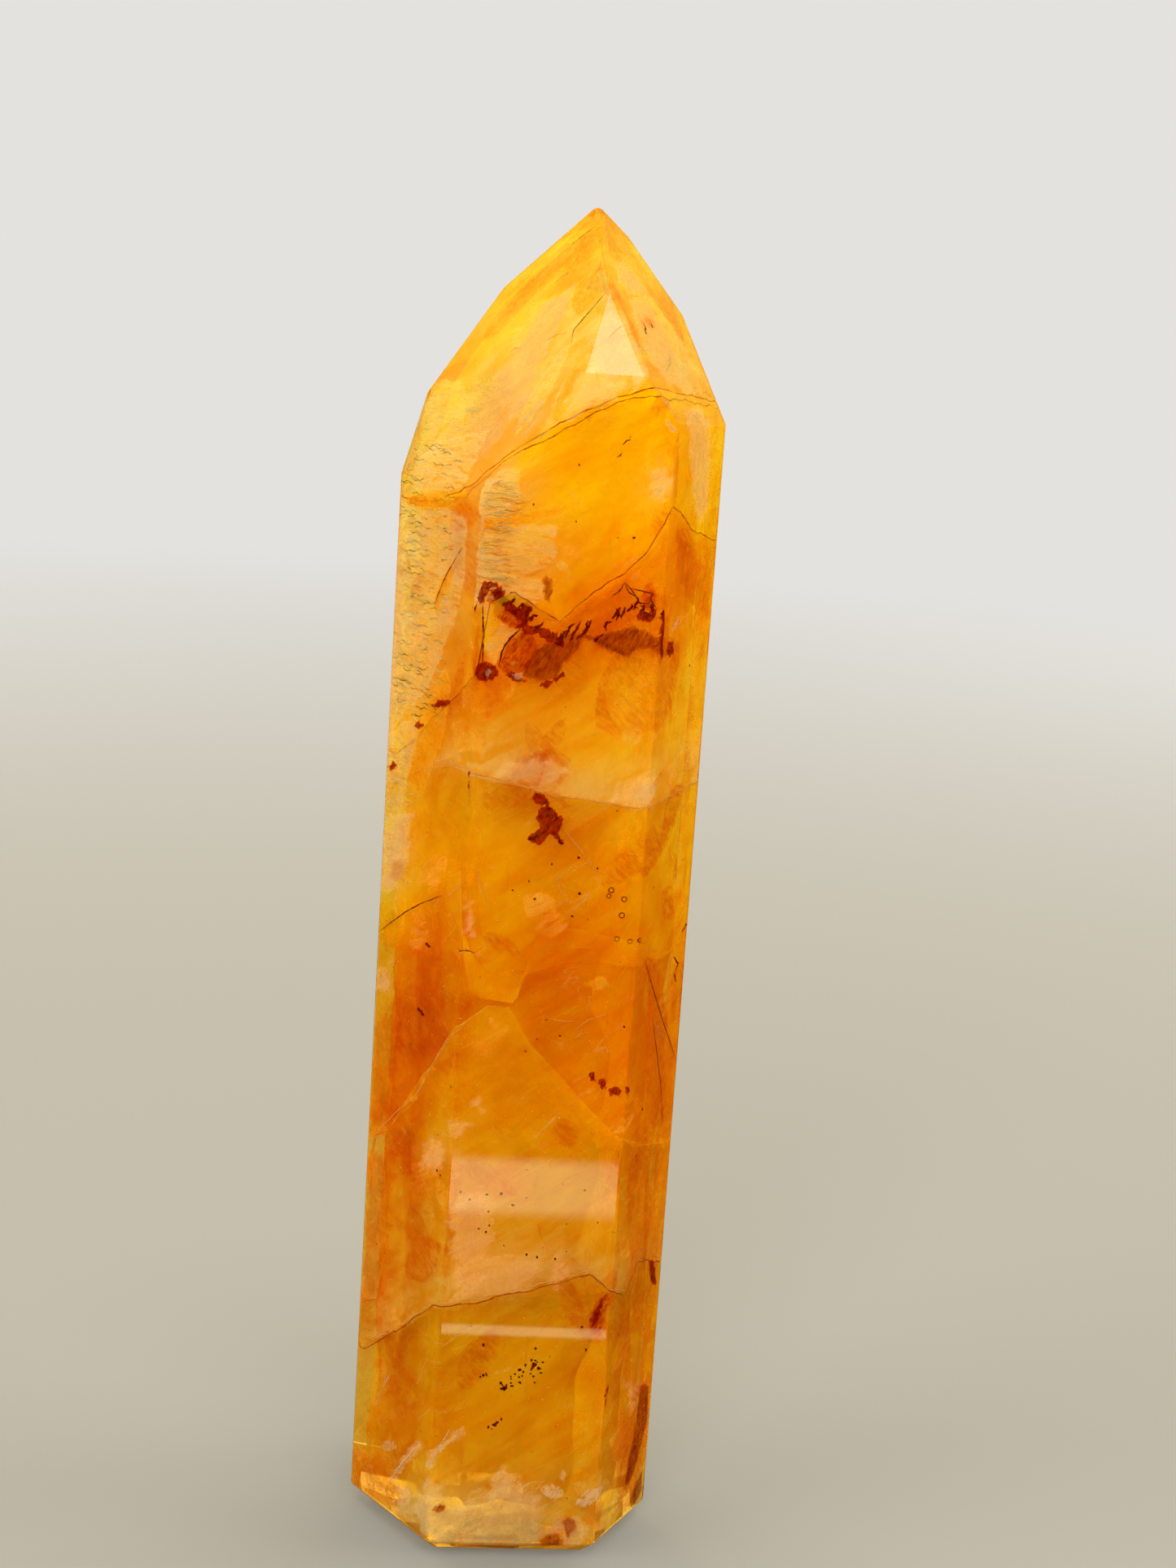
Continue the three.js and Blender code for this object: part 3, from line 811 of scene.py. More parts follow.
# Goethite: soft rusty patches that shade the gold and have no sharp border.
rust = inclusion("rusty goethite patch", "#F49410", "#CC6400", 0.6, 0.9, 1.4, soft=0.6, milk=0.5, gap=0.35)
flakes("rust_patches", rust, [
    ("front", 0.6, 0.65, [[(636, 986), (640, 979), (656, 978), (660, 984), (650, 988)]]),
    ("front", 1.4, 1.4, [[(636, 776), (660, 774), (700, 790), (720, 785), (716, 800), (692, 812),
        (686, 832), (660, 838), (640, 832)]]),
    ("front", 1, 1, [[(574, 840), (580, 800), (590, 770), (596, 770), (594, 812), (600, 838)]]),
    ("front", 0.8, 0.8, [[(668, 1136), (670, 1124), (680, 1122), (681, 1130), (674, 1138)]]),
    ("right", 0.6, 0.2, [[(760, 1700), (765, 1620), (773, 1604), (776, 1650), (768, 1712)],
        [(772, 1722), (782, 1650), (791, 1640), (790, 1690), (780, 1735)]]),
    ("right", 0.5, 0.2, [[(763, 1826), (770, 1790), (782, 1777), (781, 1800), (770, 1828)]]),
    ("right", 0.8, 0.2, [[(826, 640), (850, 680), (872, 700), (868, 760), (840, 740), (828, 700)]]),
    ("front", 0.6, 0.65, [[(745, 1560), (760, 1562), (762, 1600), (748, 1610), (738, 1590)]]),
    ("front", 0.7, 0.7, [[(574, 832), (580, 800), (590, 768), (597, 770), (595, 800), (592, 826)]]),
    ("front", 0.9, 0.9, [[(595, 870), (590, 850), (605, 840), (625, 842), (618, 862), (600, 880)]]),
    ("right_tip", 0.5, 0.65, [[(746, 330), (754, 345), (764, 366), (780, 398), (792, 436), (786, 432),
        (774, 402), (760, 372), (748, 350)]]),
    ("front", 0.5, 0.65, [[(796, 478), (812, 476), (824, 488), (822, 505), (808, 512), (802, 500),
        (806, 488)],
        [(692, 528), (705, 516), (725, 503), (748, 494), (752, 498), (730, 510), (712, 522), (697, 532)]]),
    ("front", 0.6, 0.65, [[(826, 540), (838, 528), (844, 560), (842, 620), (832, 646), (826, 610)]]),
    ("front", 1.2, 1.2, [[(691, 768), (705, 752), (720, 738), (742, 728), (766, 715), (780, 728),
        (804, 716), (815, 730), (822, 760), (830, 790), (826, 815), (800, 812), (779, 803), (750, 802),
        (720, 790)]]),
    ("left", 0.5, 0.2, [[(536, 858), (552, 838), (566, 818), (574, 800), (575, 840), (566, 858), (550, 868),
        (536, 870)]]),
    ("front", 0.6, 0.65, [[(574, 826), (580, 806), (592, 800), (606, 812), (624, 828), (622, 842),
        (600, 846), (582, 842)]]),
    ("right_tip", 0.4, 0.65, [[(788, 393), (797, 391), (798, 400), (795, 410), (790, 404)],
        [(798, 396), (804, 395), (803, 404), (799, 405)]]),
    ("front", 0.5, 0.65, [[(684, 1866), (700, 1860), (714, 1868), (712, 1886), (698, 1896), (690, 1884)],
        [(658, 1890), (668, 1880), (686, 1876), (696, 1890), (690, 1904), (664, 1904)],
        [(720, 1870), (728, 1852), (742, 1846), (752, 1856), (744, 1874), (730, 1884)]]),
    ("right", 0.5, 0.2, [[(756, 1780), (762, 1720), (772, 1740), (782, 1700), (796, 1690), (796, 1760),
        (784, 1830), (770, 1856), (758, 1852)],
        [(768, 1430), (784, 1410), (806, 1400), (822, 1410), (816, 1500), (806, 1590), (796, 1650),
        (778, 1640), (770, 1560)],
        [(788, 1170), (804, 1176), (818, 1250), (826, 1300), (824, 1390), (812, 1402), (800, 1380),
        (792, 1330), (795, 1250)],
        [(789, 1160), (795, 1168), (800, 1215), (798, 1288), (793, 1290), (794, 1220)],
        [(803, 1184), (808, 1190), (818, 1244), (828, 1298), (824, 1302), (813, 1250)],
        [(806, 1288), (813, 1296), (818, 1330), (815, 1384), (810, 1384), (808, 1330)],
        [(790, 1306), (796, 1320), (798, 1366), (810, 1400), (805, 1404), (793, 1366)],
        [(792, 1420), (797, 1424), (796, 1500), (792, 1560), (788, 1556), (790, 1490)]]),
    ("left", 0.5, 0.2, [[(462, 1262), (480, 1236), (500, 1212), (520, 1180), (546, 1120), (546, 1250),
        (530, 1300), (500, 1350), (470, 1385), (456, 1390)],
        [(434, 1785), (462, 1790), (500, 1830), (488, 1850), (462, 1846), (434, 1824)]]),
    ("left", 0.4, 0.2, [[(452, 1430), (470, 1410), (482, 1440), (478, 1520), (470, 1590), (446, 1600)]])])

# Limonite leaves: bright gold veils that catch the light.
gold = inclusion("gold leaf veil", "#FFD838", "#FFB400", 0.8, 0.4, 0.9, soft=0.3, gap=0.4)
flakes("gold_veils", gold, [
    ("front", 0.5, 0.5, [[(719, 1208), (728, 1203), (740, 1202), (747, 1208), (738, 1214), (728, 1219)]]),
    ("left", 0.4, 0.17, [[(498, 618), (510, 607), (540, 606), (549, 614), (530, 624), (508, 624)]]),
    ("left_tip", 0.5, 0.5, [[(734, 277), (700, 300), (665, 330), (625, 365), (598, 400), (590, 420),
        (606, 418), (632, 392), (662, 358), (700, 322), (728, 300)]]),
    ("left_tip", 0.7, 0.7, [[(722, 268), (737, 262), (742, 300), (726, 318), (690, 338), (650, 372),
        (620, 400), (600, 408), (640, 352), (690, 300)]]),
    ("left_tip", 0.5, 0.5, [[(700, 376), (706, 352), (724, 336), (743, 334), (742, 356), (726, 376),
        (712, 392)]]),
    ("front", 0.5, 0.5, [[(678, 522), (680, 450), (688, 440), (692, 470), (690, 520)]]),
    ("right_tip", 0.6, 0.6, [[(742, 262), (760, 280), (784, 318), (800, 345), (790, 340), (770, 316),
        (750, 310), (742, 290)]]),
    ("left", 0.4, 0.17, [[(500, 960), (520, 880), (548, 820), (556, 840), (548, 900), (520, 980)]]),
    ("front", 0.5, 0.5, [[(714, 612), (680, 622), (640, 630), (596, 643), (578, 656), (575, 668),
        (602, 660), (645, 646), (690, 632), (716, 620)]]),
    ("left", 0.4, 0.17, [[(572, 662), (556, 690), (540, 720), (532, 745), (538, 752), (550, 730),
        (562, 705), (572, 690)]]),
    ("left", 0.3, 0.17, [[(498, 606), (530, 612), (556, 611), (573, 602), (572, 616), (548, 626),
        (520, 625), (500, 620)]]),
    ("right", 0.3, 0.17, [[(776, 1386), (778, 1385), (779, 1389), (777, 1390)],
        [(810, 1400), (813, 1399), (813, 1404), (810, 1405)]]),
    ("left", 0.25, 0.17, [[(505, 1350), (510, 1347), (513, 1351), (509, 1355)],
        [(528, 1312), (532, 1308), (534, 1314), (530, 1318)],
        [(516, 1330), (521, 1326), (523, 1331), (519, 1334)]])])

# Half healed quartz full of tiny bubbles: cream where it is clean, peach where it is stained. The two
# patches under the front tip facet are a painted highlight.
milk_quartz = inclusion("milky healed patch", "#FFF2B8", "#FFE6A4", 0.8, 0.8, 1.0, soft=0.8, milk=0.9,
                        length=2.0, lean=35, gap=0.45, thrown=0.3)
flakes("milky_patches", milk_quartz, [
    ("front", 0.4, 0.6, [[(798, 576), (822, 574), (824, 600), (816, 616), (800, 612)]]),
    ("left", 0.5, 0.2, [[(470, 1096), (472, 1030), (490, 998), (511, 998), (505, 1040), (490, 1090)]]),
    ("front", 0.4, 0.6, [[(573, 1148), (574, 1112), (580, 1108), (581, 1149)]]),
    ("front", 0.6, 0.6, [[(600, 958), (620, 935), (680, 930), (700, 950), (660, 968)],
        [(750, 985), (770, 960), (810, 950), (822, 972), (800, 994)]]),
    ("front", 0.5, 0.6, [[(678, 520), (680, 450), (684, 436), (689, 440), (688, 523)]]),
    ("left_tip", 0.7, 0.7, [[(640, 400), (665, 372), (705, 350), (718, 372), (704, 420), (690, 450),
        (650, 500), (622, 520), (606, 470), (620, 430)]]),
    # painted highlight: these two cream patches under the front tip facet brighten the whole facet in place
    # of its sheen
    ("front_tip", 0.7, 0.7, [[(746, 354), (770, 405), (796, 462), (780, 466), (750, 470), (724, 456),
        (728, 410)]]),
    ("front_tip", 0.8, 0.8, [[(724, 450), (760, 466), (790, 464), (794, 468), (750, 486), (700, 512),
        (690, 508), (704, 478)]]),
    ("right_tip", 0.6, 0.6, [[(752, 318), (768, 320), (788, 344), (800, 366), (780, 362), (760, 348)]]),
    ("right_tip", 0.7, 0.7, [[(770, 362), (800, 368), (840, 420), (862, 470), (868, 490), (838, 482),
        (812, 462), (796, 440), (782, 400)]]),
    ("right", 0.7, 0.2, [[(842, 500), (868, 496), (870, 560), (866, 640), (852, 640), (846, 580)]]),
    ("left", 0.4, 0.2, [[(479, 1820), (490, 1803), (500, 1790), (513, 1774), (518, 1776), (507, 1793),
        (498, 1804), (486, 1820)]]),
    ("front", 0.4, 0.6, [[(522, 1805), (527, 1788), (540, 1776), (556, 1764), (567, 1758), (568, 1762),
        (553, 1773), (541, 1784), (533, 1794), (529, 1806)]]),
    ("left", 0.4, 0.2, [[(464, 900), (470, 760), (480, 660), (492, 640), (500, 660), (500, 760), (490, 860),
        (478, 960)]]),
    ("front", 0.6, 0.6, [[(486, 1858), (500, 1846), (516, 1842), (530, 1838), (545, 1848), (560, 1850),
        (575, 1842), (590, 1846), (600, 1832), (606, 1814), (618, 1806), (630, 1812), (640, 1826),
        (662, 1836), (670, 1850), (662, 1868), (668, 1880), (660, 1896), (640, 1902), (600, 1902),
        (545, 1900), (522, 1888), (505, 1872)]]),
    ("front", 0.4, 0.6, [[(530, 1893), (545, 1880), (560, 1872), (562, 1856), (575, 1852), (592, 1850),
        (606, 1862), (602, 1880), (580, 1890), (560, 1899), (545, 1899)],
        [(600, 1838), (604, 1818), (612, 1807), (622, 1804), (629, 1812), (626, 1824), (630, 1836),
        (618, 1846), (606, 1846)],
        [(520, 1850), (519, 1826), (528, 1816), (538, 1824), (546, 1840), (540, 1846), (530, 1846)]]),
    ("front", 0.5, 0.6, [[(672, 1880), (680, 1866), (694, 1862), (712, 1868), (722, 1876), (716, 1892),
        (700, 1902), (688, 1900), (690, 1884)]]),
    ("left", 0.35, 0.2, [[(484, 1858), (490, 1848), (500, 1843), (510, 1846), (514, 1856), (506, 1866),
        (496, 1868)]]),
    ("left", 0.3, 0.2, [[(463, 1194), (470, 1186), (478, 1196), (480, 1210), (472, 1220), (463, 1216)]])])
peach_milk = inclusion("peach healed patch", "#FFE4A4", "#FFD888", 0.8, 0.9, 1.0, soft=0.8, milk=0.85,
                       length=2.0, lean=35, gap=0.35, thrown=0.3)
flakes("peach_patches", peach_milk, [
    ("left", 0.5, 0.2, [[(517, 1430), (522, 1404), (540, 1398), (551, 1410), (545, 1437), (526, 1438)]]),
    ("front", 0.5, 0.6, [[(556, 1598), (560, 1560), (600, 1542), (660, 1548), (666, 1570), (620, 1600)],
        [(672, 1580), (680, 1545), (690, 1540), (694, 1560), (688, 1584)]]),
    ("right", 0.4, 0.2, [[(762, 1694), (770, 1715), (776, 1734), (784, 1716), (790, 1696), (778, 1700)]]),
    ("left", 0.4, 0.2, [[(520, 1418), (530, 1404), (545, 1398), (548, 1410), (540, 1424), (546, 1436),
        (536, 1440), (524, 1428)]]),
    ("front", 0.5, 0.6, [[(578, 1354), (586, 1350), (594, 1360), (592, 1370), (584, 1364)],
        [(558, 1385), (572, 1376), (578, 1382), (566, 1396), (556, 1396)],
        [(552, 1500), (566, 1470), (590, 1460), (606, 1480), (604, 1520), (596, 1560), (580, 1590),
        (566, 1600), (560, 1560)]])])

# The densest bubbles: small white tufts with frayed borders. A few are painted glints instead.
fluff = inclusion("white healed fluff", "#FFF8C8", "#FFE894", 1.0, 0.25, 0.35, milk=1.0, length=1.6,
                  lean=60, gap=0.3, thrown=0.1)
flakes("white_fluff", fluff, [
    ("left", 0.4, 0.08, [[(481, 1078), (484, 1058), (495, 1053), (500, 1064), (494, 1081)]]),
    ("front", 0.3, 0.18, [[(573, 640), (575, 628), (581, 630), (581, 640)]]),
    ("front", 0.35, 0.21, [[(629, 829), (640, 828), (642, 834), (633, 834)]]),
    # painted highlights: these four white tufts by the right edge under the tip stand in for glints
    ("front", 0.3, 0.18, [[(820, 492), (826, 487), (834, 494), (832, 499), (824, 498)]]),
    ("right", 0.3, 0.06, [[(854, 505), (862, 500), (866, 508), (860, 514), (866, 522), (858, 521)]]),
    ("front", 0.3, 0.18, [[(818, 516), (824, 520), (831, 528), (826, 531), (819, 524)]]),
    ("right", 0.3, 0.06, [[(842, 518), (847, 523), (843, 527)]]),
    ("left", 0.35, 0.07, [[(470, 1777), (476, 1771), (484, 1772), (491, 1778), (482, 1781), (474, 1784)]]),
    ("front", 0.35, 0.21, [[(538, 1781), (548, 1771), (560, 1763), (561, 1766), (550, 1774), (541, 1783)]]),
    # painted highlight: this white tuft is the glint on the pit, not a cluster of bubbles
    ("front", 0.3, 0.18, [[(596, 829), (597, 824), (600, 822), (603, 825), (602, 829), (599, 832)]]),
    ("left", 0.3, 0.06, [[(496, 1853), (499, 1846), (504, 1847), (503, 1855)],
        [(485, 1848), (487, 1841), (490, 1841), (489, 1850)]]),
    ("front", 0.3, 0.18, [[(563, 1872), (566, 1860), (571, 1858), (573, 1868), (569, 1880)],
        [(576, 1868), (580, 1856), (590, 1852), (596, 1858), (590, 1866)],
        [(602, 1850), (604, 1841), (608, 1843), (606, 1854)],
        [(629, 1876), (634, 1868), (637, 1862), (641, 1866), (642, 1876)],
        [(545, 1884), (552, 1878), (560, 1882), (556, 1888)],
        [(546, 1890), (554, 1888), (558, 1894), (561, 1901), (552, 1900)],
        [(605, 1819), (610, 1814), (616, 1806), (624, 1809), (628, 1816), (618, 1815), (611, 1820)],
        [(652, 1879), (656, 1870), (661, 1872), (659, 1882)],
        [(688, 1817), (692, 1806), (696, 1812), (692, 1820)]])])

# Clear smoky quartz: greyish windows in the gold, with hardly any border.
smoky = inclusion("smoky clear window", "#ECDCA0", "#CCBC84", 0.6, 1.0, 1.2, soft=0.9, milk=0.6)
flakes("smoky_windows", smoky, [
    ("front", 0.35, 0.35, [[(583, 1891), (594, 1881), (606, 1873), (615, 1872), (608, 1881), (595, 1889),
        (586, 1894)]]),
    ("left_tip", 0.5, 0.5, [[(576, 566), (572, 520), (578, 478), (594, 444), (612, 434), (630, 446),
        (640, 478), (630, 512), (614, 540), (596, 560)]]),
    ("left", 0.25, 0.09, [[(560, 632), (573, 634), (574, 690), (564, 716), (556, 700)]]),
    ("front", 0.35, 0.35, [[(575, 596), (588, 594), (590, 640), (588, 700), (586, 752), (574, 756)]])])

# Growth steps: pale gold windows combed by fine level lines.
striated = inclusion("striated growth steps", "#FFFAC0", "#FFEC80", 0.95, 0.4, 0.95, soft=0.3, milk=0.9,
                     length=4.5, lean=-8, gap=1.0, thrown=0.3)
flakes("striated_patches", striated, [
    ("front", 0.4, 0.6, [[(573, 634), (574, 583), (600, 574), (638, 578), (640, 622), (612, 636)],
        [(572, 708), (573, 668), (590, 656), (622, 646), (684, 648), (682, 692), (640, 712)],
        [(573, 746), (574, 710), (620, 702), (668, 710), (668, 738), (650, 747), (610, 742)]]),
    ("front", 0.8, 0.8, [[(596, 742), (604, 742), (610, 758), (636, 774), (626, 790), (618, 800),
        (610, 816), (596, 816)]]),
    ("left_tip", 0.4, 0.6, [[(512, 556), (520, 500), (545, 465), (566, 470), (572, 500), (566, 540),
        (552, 572), (530, 580)]]),
    ("left_tip", 0.5, 0.6, [[(630, 540), (640, 505), (660, 470), (690, 430), (700, 422), (690, 450),
        (672, 490), (650, 520)]]),
    ("left", 0.25, 0.2, [[(462, 1040), (466, 930), (480, 900), (510, 880), (520, 900), (500, 960),
        (486, 1040)],
        [(500, 596), (506, 560), (522, 530), (548, 515), (571, 506), (571, 598), (545, 604), (520, 602)],
        [(470, 870), (476, 760), (486, 680), (496, 636), (520, 628), (548, 624), (574, 640), (573, 700),
        (562, 760), (545, 800), (524, 850), (490, 885)]])])


# --- Crack edges, specks and bubbles ---------------------------------------------------
# Where a crack meets another or nearly comes out, its edge catches the light as a fine
# gold or white thread. Grains of iron oxide and little ring-shaped bubbles lie about it.
def tubes(name, material, paths, radius, seed, sides=6):
    """Fine tubes: a flat circle carried along each path of points in millimetres, its
    radius uneven and dying out at both ends."""
    random = np.random.default_rng(seed)
    pieces, along = paths.shape[:2]
    ahead = np.gradient(paths, axis=1)
    ahead /= np.linalg.norm(ahead, axis=2, keepdims=True)
    outward = paths - axis_point(paths[..., 2])
    outward[..., 2] = 0
    outward /= np.linalg.norm(outward, axis=2, keepdims=True)
    side = np.cross(ahead, outward)
    share = np.linspace(0, 1, along)
    thick = radius * random.uniform(0.5, 1.3, (pieces, along)) * np.sin(pi * share) ** 0.4
    thick[:, [0, -1]] = 0.001
    turn = np.linspace(0, 2 * pi, sides, endpoint=False)[:, None]
    circle = np.cos(turn) * side[:, :, None] + 0.5 * np.sin(turn) * outward[:, :, None]
    points = paths[:, :, None] + thick[..., None, None] * circle
    many(name, material, points.reshape(pieces, -1, 3), grid_faces(along, sides, closed=True))


def evenly(points, count):
    """Points at equal steps along a line of straight pieces."""
    points = np.array(points, float)
    run = np.concatenate([[0], np.cumsum(np.linalg.norm(np.diff(points, axis=0), axis=1))])
    steps = np.linspace(0, run[-1], count)
    return np.stack([np.interp(steps, run, column) for column in points.T], axis=-1)


def threads(name, material, radius, seed, groups, along=40):
    """Tubes under the faces along lines of (across, height), each wandering a little."""
    random = np.random.default_rng(seed)
    arch = np.sin(pi * np.linspace(0, 1, along))[:, None]
    paths = []
    for face, depth, line in one_by_one(groups):
        wander = 0.25 * radius * random.standard_normal((along, 2)).cumsum(axis=0) * arch
        paths.append(under_face(face, *(evenly(line, along) + wander).T, np.full(along, float(depth))))
    tubes(name, material, np.array(paths), radius, seed)


def crack_edge(name, colour, milk):
    """The edge of a crack, or a grain: a powdery film of one colour that scatters a milk
    share of the light, and lets the rest straight through in the colour's square root."""
    film, add = new_material(name)
    tint = linear(colour)
    add("OutputMaterial", {"Surface": film_shader(add, [part ** 0.5 for part in tint], tint, milk)})
    return film


threads("gold_crack_edges", crack_edge("gold crack edge", "#FFD870", 0.95), 0.05, 3, [
    ("front", 0.6, 0.6, [[(691, 1016), (704, 1033), (718, 1051), (729, 1066), (747, 1077)],
        [(724, 1060), (701, 1068), (685, 1080), (687, 1093), (697, 1106)]]),
    ("right", 0.5, 0.17, [[(803, 1256), (808, 1267), (813, 1280)]]),
    ("front", 0.6, 0.6, [[(674, 1251), (690, 1256), (705, 1255)], [(706, 1266), (722, 1254), (744, 1247)],
        [(705, 1277), (716, 1272), (725, 1269)]]),
    ("left", 0.4, 0.14, [[(455, 1401), (470, 1385), (490, 1365), (510, 1350), (520, 1335), (530, 1314),
        (545, 1290), (560, 1270), (575, 1258)]]),
    ("right", 0.4, 0.14, [[(789, 1537), (786, 1550), (782, 1563), (778, 1580), (775, 1592)]]),
    ("front", 0.4, 0.4, [[(586, 1066), (592, 1093), (601, 1116)]]),
    ("left", 0.4, 0.14, [[(552, 1101), (572, 1083)]]),
    ("left_tip", 0.3, 0.3, [[(672, 418), (685, 411), (697, 408)], [(627, 432), (633, 428), (638, 427)],
        [(683, 347), (691, 340), (700, 335)]]),
    ("front_tip", 0.3, 0.3, [[(746, 417), (752, 412), (757, 406), (765, 400)]]),
    ("right_tip", 0.3, 0.3, [[(824, 434), (823, 446), (818, 456)]]),
    ("left", 0.3, 0.1, [[(476, 1687), (470, 1706), (462, 1726)], [(527, 1664), (520, 1683), (513, 1701)]]),
    ("right", 0.3, 0.1, [[(803, 1254), (807, 1268), (811, 1281)], [(799, 1160), (796, 1172)],
        [(789, 1531), (784, 1550), (780, 1562)]]),
    ("left", 0.3, 0.1, [[(487, 1176), (484, 1188), (482, 1198)], [(540, 1104), (536, 1114)]])])
threads("white_crack_edges", crack_edge("white crack edge", "#FFF4DC", 0.95), 0.06, 4, [
    ("left", 0.3, 0.1, [[(481, 1817), (497, 1797), (514, 1776)], [(526, 1803), (536, 1790), (555, 1770)],
        [(624, 520), (640, 500)]]),
    ("left_tip", 0.3, 0.3, [[(632, 530), (655, 500)], [(640, 540), (668, 505)], [(650, 520), (672, 490)],
        [(636, 505), (650, 485)]]),
    ("right_tip", 0.35, 0.35, [[(822, 432), (823, 444), (818, 456)]]),
    ("front", 0.35, 0.35, [[(741, 1815), (739, 1835), (742, 1860)]]),
    ("left", 0.35, 0.12, [[(479, 1690), (472, 1705), (463, 1727)]])])
threads("dark_tufts", crack_edge("red hematite tuft", "#B42C00", 0.8), 0.11, 41, [
    ("front", 0.4, 0.28, [[(694, 784), (706, 766)], [(700, 788), (714, 763)], [(708, 786), (723, 762)],
        [(717, 780), (727, 761)], [(752, 761), (757, 747)], [(757, 763), (763, 747)],
        [(763, 760), (768, 745)], [(744, 775), (752, 764)], [(770, 752), (776, 743)],
        [(778, 750), (785, 737)], [(786, 752), (792, 744)], [(681, 790), (690, 776)],
        [(688, 786), (697, 775)], [(626, 741), (633, 732)], [(636, 749), (642, 740)],
        [(644, 758), (654, 750)], [(652, 764), (661, 757)], [(657, 770), (668, 764)],
        [(800, 742), (804, 752)], [(812, 760), (818, 752)], [(816, 792), (820, 776)],
        [(822, 812), (824, 798)], [(732, 788), (742, 778)], [(662, 1026), (650, 1030)],
        [(686, 1030), (692, 1036)], [(574, 741), (566, 752)]]),
    ("right_tip", 0.3, 0.28, [[(790, 396), (793, 402), (792, 409)], [(799, 397), (802, 403)]]),
    ("right", 0.4, 0.1, [[(826, 1176), (832, 1184), (828, 1194)], [(827, 1196), (830, 1206)],
        [(836, 1214), (838, 1222)], [(836, 1146), (846, 1132)]]),
    ("left", 0.3, 0.1, [[(526, 1158), (530, 1164)], [(515, 1239), (520, 1241)],
        [(519, 1245), (521, 1247)]]),
    ("front", 0.4, 0.28, [[(618, 1706), (623, 1700)], [(652, 1684), (659, 1676)],
        [(607, 1752), (612, 1748)]])])
threads("dark_crack_edges", crack_edge("rusty crack edge", "#8A2000", 0.9), 0.05, 5, [
    ("front", 0.4, 0.32, [[(556, 1165), (565, 1169), (575, 1166), (584, 1171)]]),
    ("right", 0.5, 0.11, [[(789, 1176), (800, 1210), (812, 1250), (828, 1300)],
        [(800, 1250), (805, 1290), (810, 1330), (812, 1380)]]),
    ("left_tip", 0.4, 0.32, [[(746, 358), (728, 380), (706, 406), (703, 422)]]),
    ("front", 0.6, 0.32, [[(767, 715), (780, 731), (785, 736), (780, 744), (785, 749)],
        [(772, 722), (801, 731), (797, 738), (808, 749)]]),
    ("front", 0.45, 0.32, [[(594, 742), (594, 780), (593, 815)]]),
    ("front", 0.6, 0.32, [[(638, 774), (626, 788), (618, 800), (612, 820)]]),
    ("front", 0.4, 0.32, [[(767, 716), (772, 728), (781, 733), (786, 740), (797, 741), (800, 735)],
        [(786, 740), (790, 752), (800, 756)], [(767, 716), (760, 728), (752, 733)],
        [(800, 735), (803, 745), (801, 758)], [(612, 820), (618, 800), (629, 783), (640, 773)]]),
    ("left_tip", 0.4, 0.32, [[(733, 277), (700, 303), (655, 345), (630, 368)]]),
    ("front", 0.4, 0.32, [[(765, 547), (769, 543), (775, 540)], [(758, 562), (764, 556)]]),
    ("left", 0.4, 0.11, [[(570, 672), (556, 696), (546, 714), (536, 742)]]),
    ("left", 0.35, 0.11, [[(466, 1146), (480, 1135), (500, 1120), (520, 1110), (545, 1100)]])])


def wrinkles(name, material, face, count, across, height, seed, depth, radius, along=9):
    """Short level tubes at random places of a face, between two limits across and two of
    height: each a sine of random length and phase, a little off the level."""
    random = np.random.default_rng(seed)
    limits = (across, height, (0.5, 2.2), (0, 2 * pi), (-0.12, 0.12))
    start, middle, length, phase, slope = (random.uniform(*pair, count)[:, None] for pair in limits)
    share = np.linspace(0, 1, along)
    level = middle + 0.07 * np.sin(2 * pi * length * share / 1.1 + phase) + slope * length * (share - 0.5)
    paths = under_face(face, start + length * share, level, np.full((count, along), depth))
    tubes(name, material, paths, radius, seed, sides=4)


pale_step = crack_edge("pale growth step", "#FFF6B0", 0.9)
olive_step = crack_edge("olive growth step", "#A88830", 0.7)
gold_step = crack_edge("gold growth step", "#E0B040", 0.6)
for name, finish, face, count, across, height, seed, depth, radius in (
        ("left_steps_pale", pale_step, "left", 170, (-6.3, 0.4), (62.5, 83), 51, 0.22, 0.035),
        ("left_steps_deep", olive_step, "left", 120, (-6.3, 0.4), (62.5, 83), 52, 0.22, 0.035),
        ("left_tip_steps", pale_step, "left_tip", 60, (-4.6, -1.5), (81.8, 87), 53, 0.22, 0.035),
        ("low_steps", pale_step, "left", 60, (-6.5, -2.8), (50, 60), 54, 0.22, 0.035),
        ("front_steps_pale", pale_step, "front", 90, (-6.9, -4.4), (71.8, 80.2), 55, 0.45, 0.03),
        ("front_steps_deep", gold_step, "front", 50, (-6.9, -4.4), (71.8, 80.2), 56, 0.45, 0.025)):
    wrinkles(name, finish, face, count, across, height, seed, depth, radius)


def rim_thread(name, material, rim, radius, depth, seed, start=-180, end=180, shift=0.0):
    """A tube just under the faces along a fracture's line, torn up and down a little,
    from a start bearing to an end bearing."""
    bearings = np.linspace(start, end, 260)
    level = 0 * bearings
    heights = rim_heights(rim, bearings) + shift
    heights += 0.16 * ripple(bearings / 6, level, 4.0, seed) + 0.07 * ripple(bearings, level, 6.0, seed)
    middle = axis_point(heights)
    ways = bearing_way(bearings)
    path = middle + (reach(middle, ways) - depth)[:, None] * ways
    tubes(name, material, path[None], radius, seed)


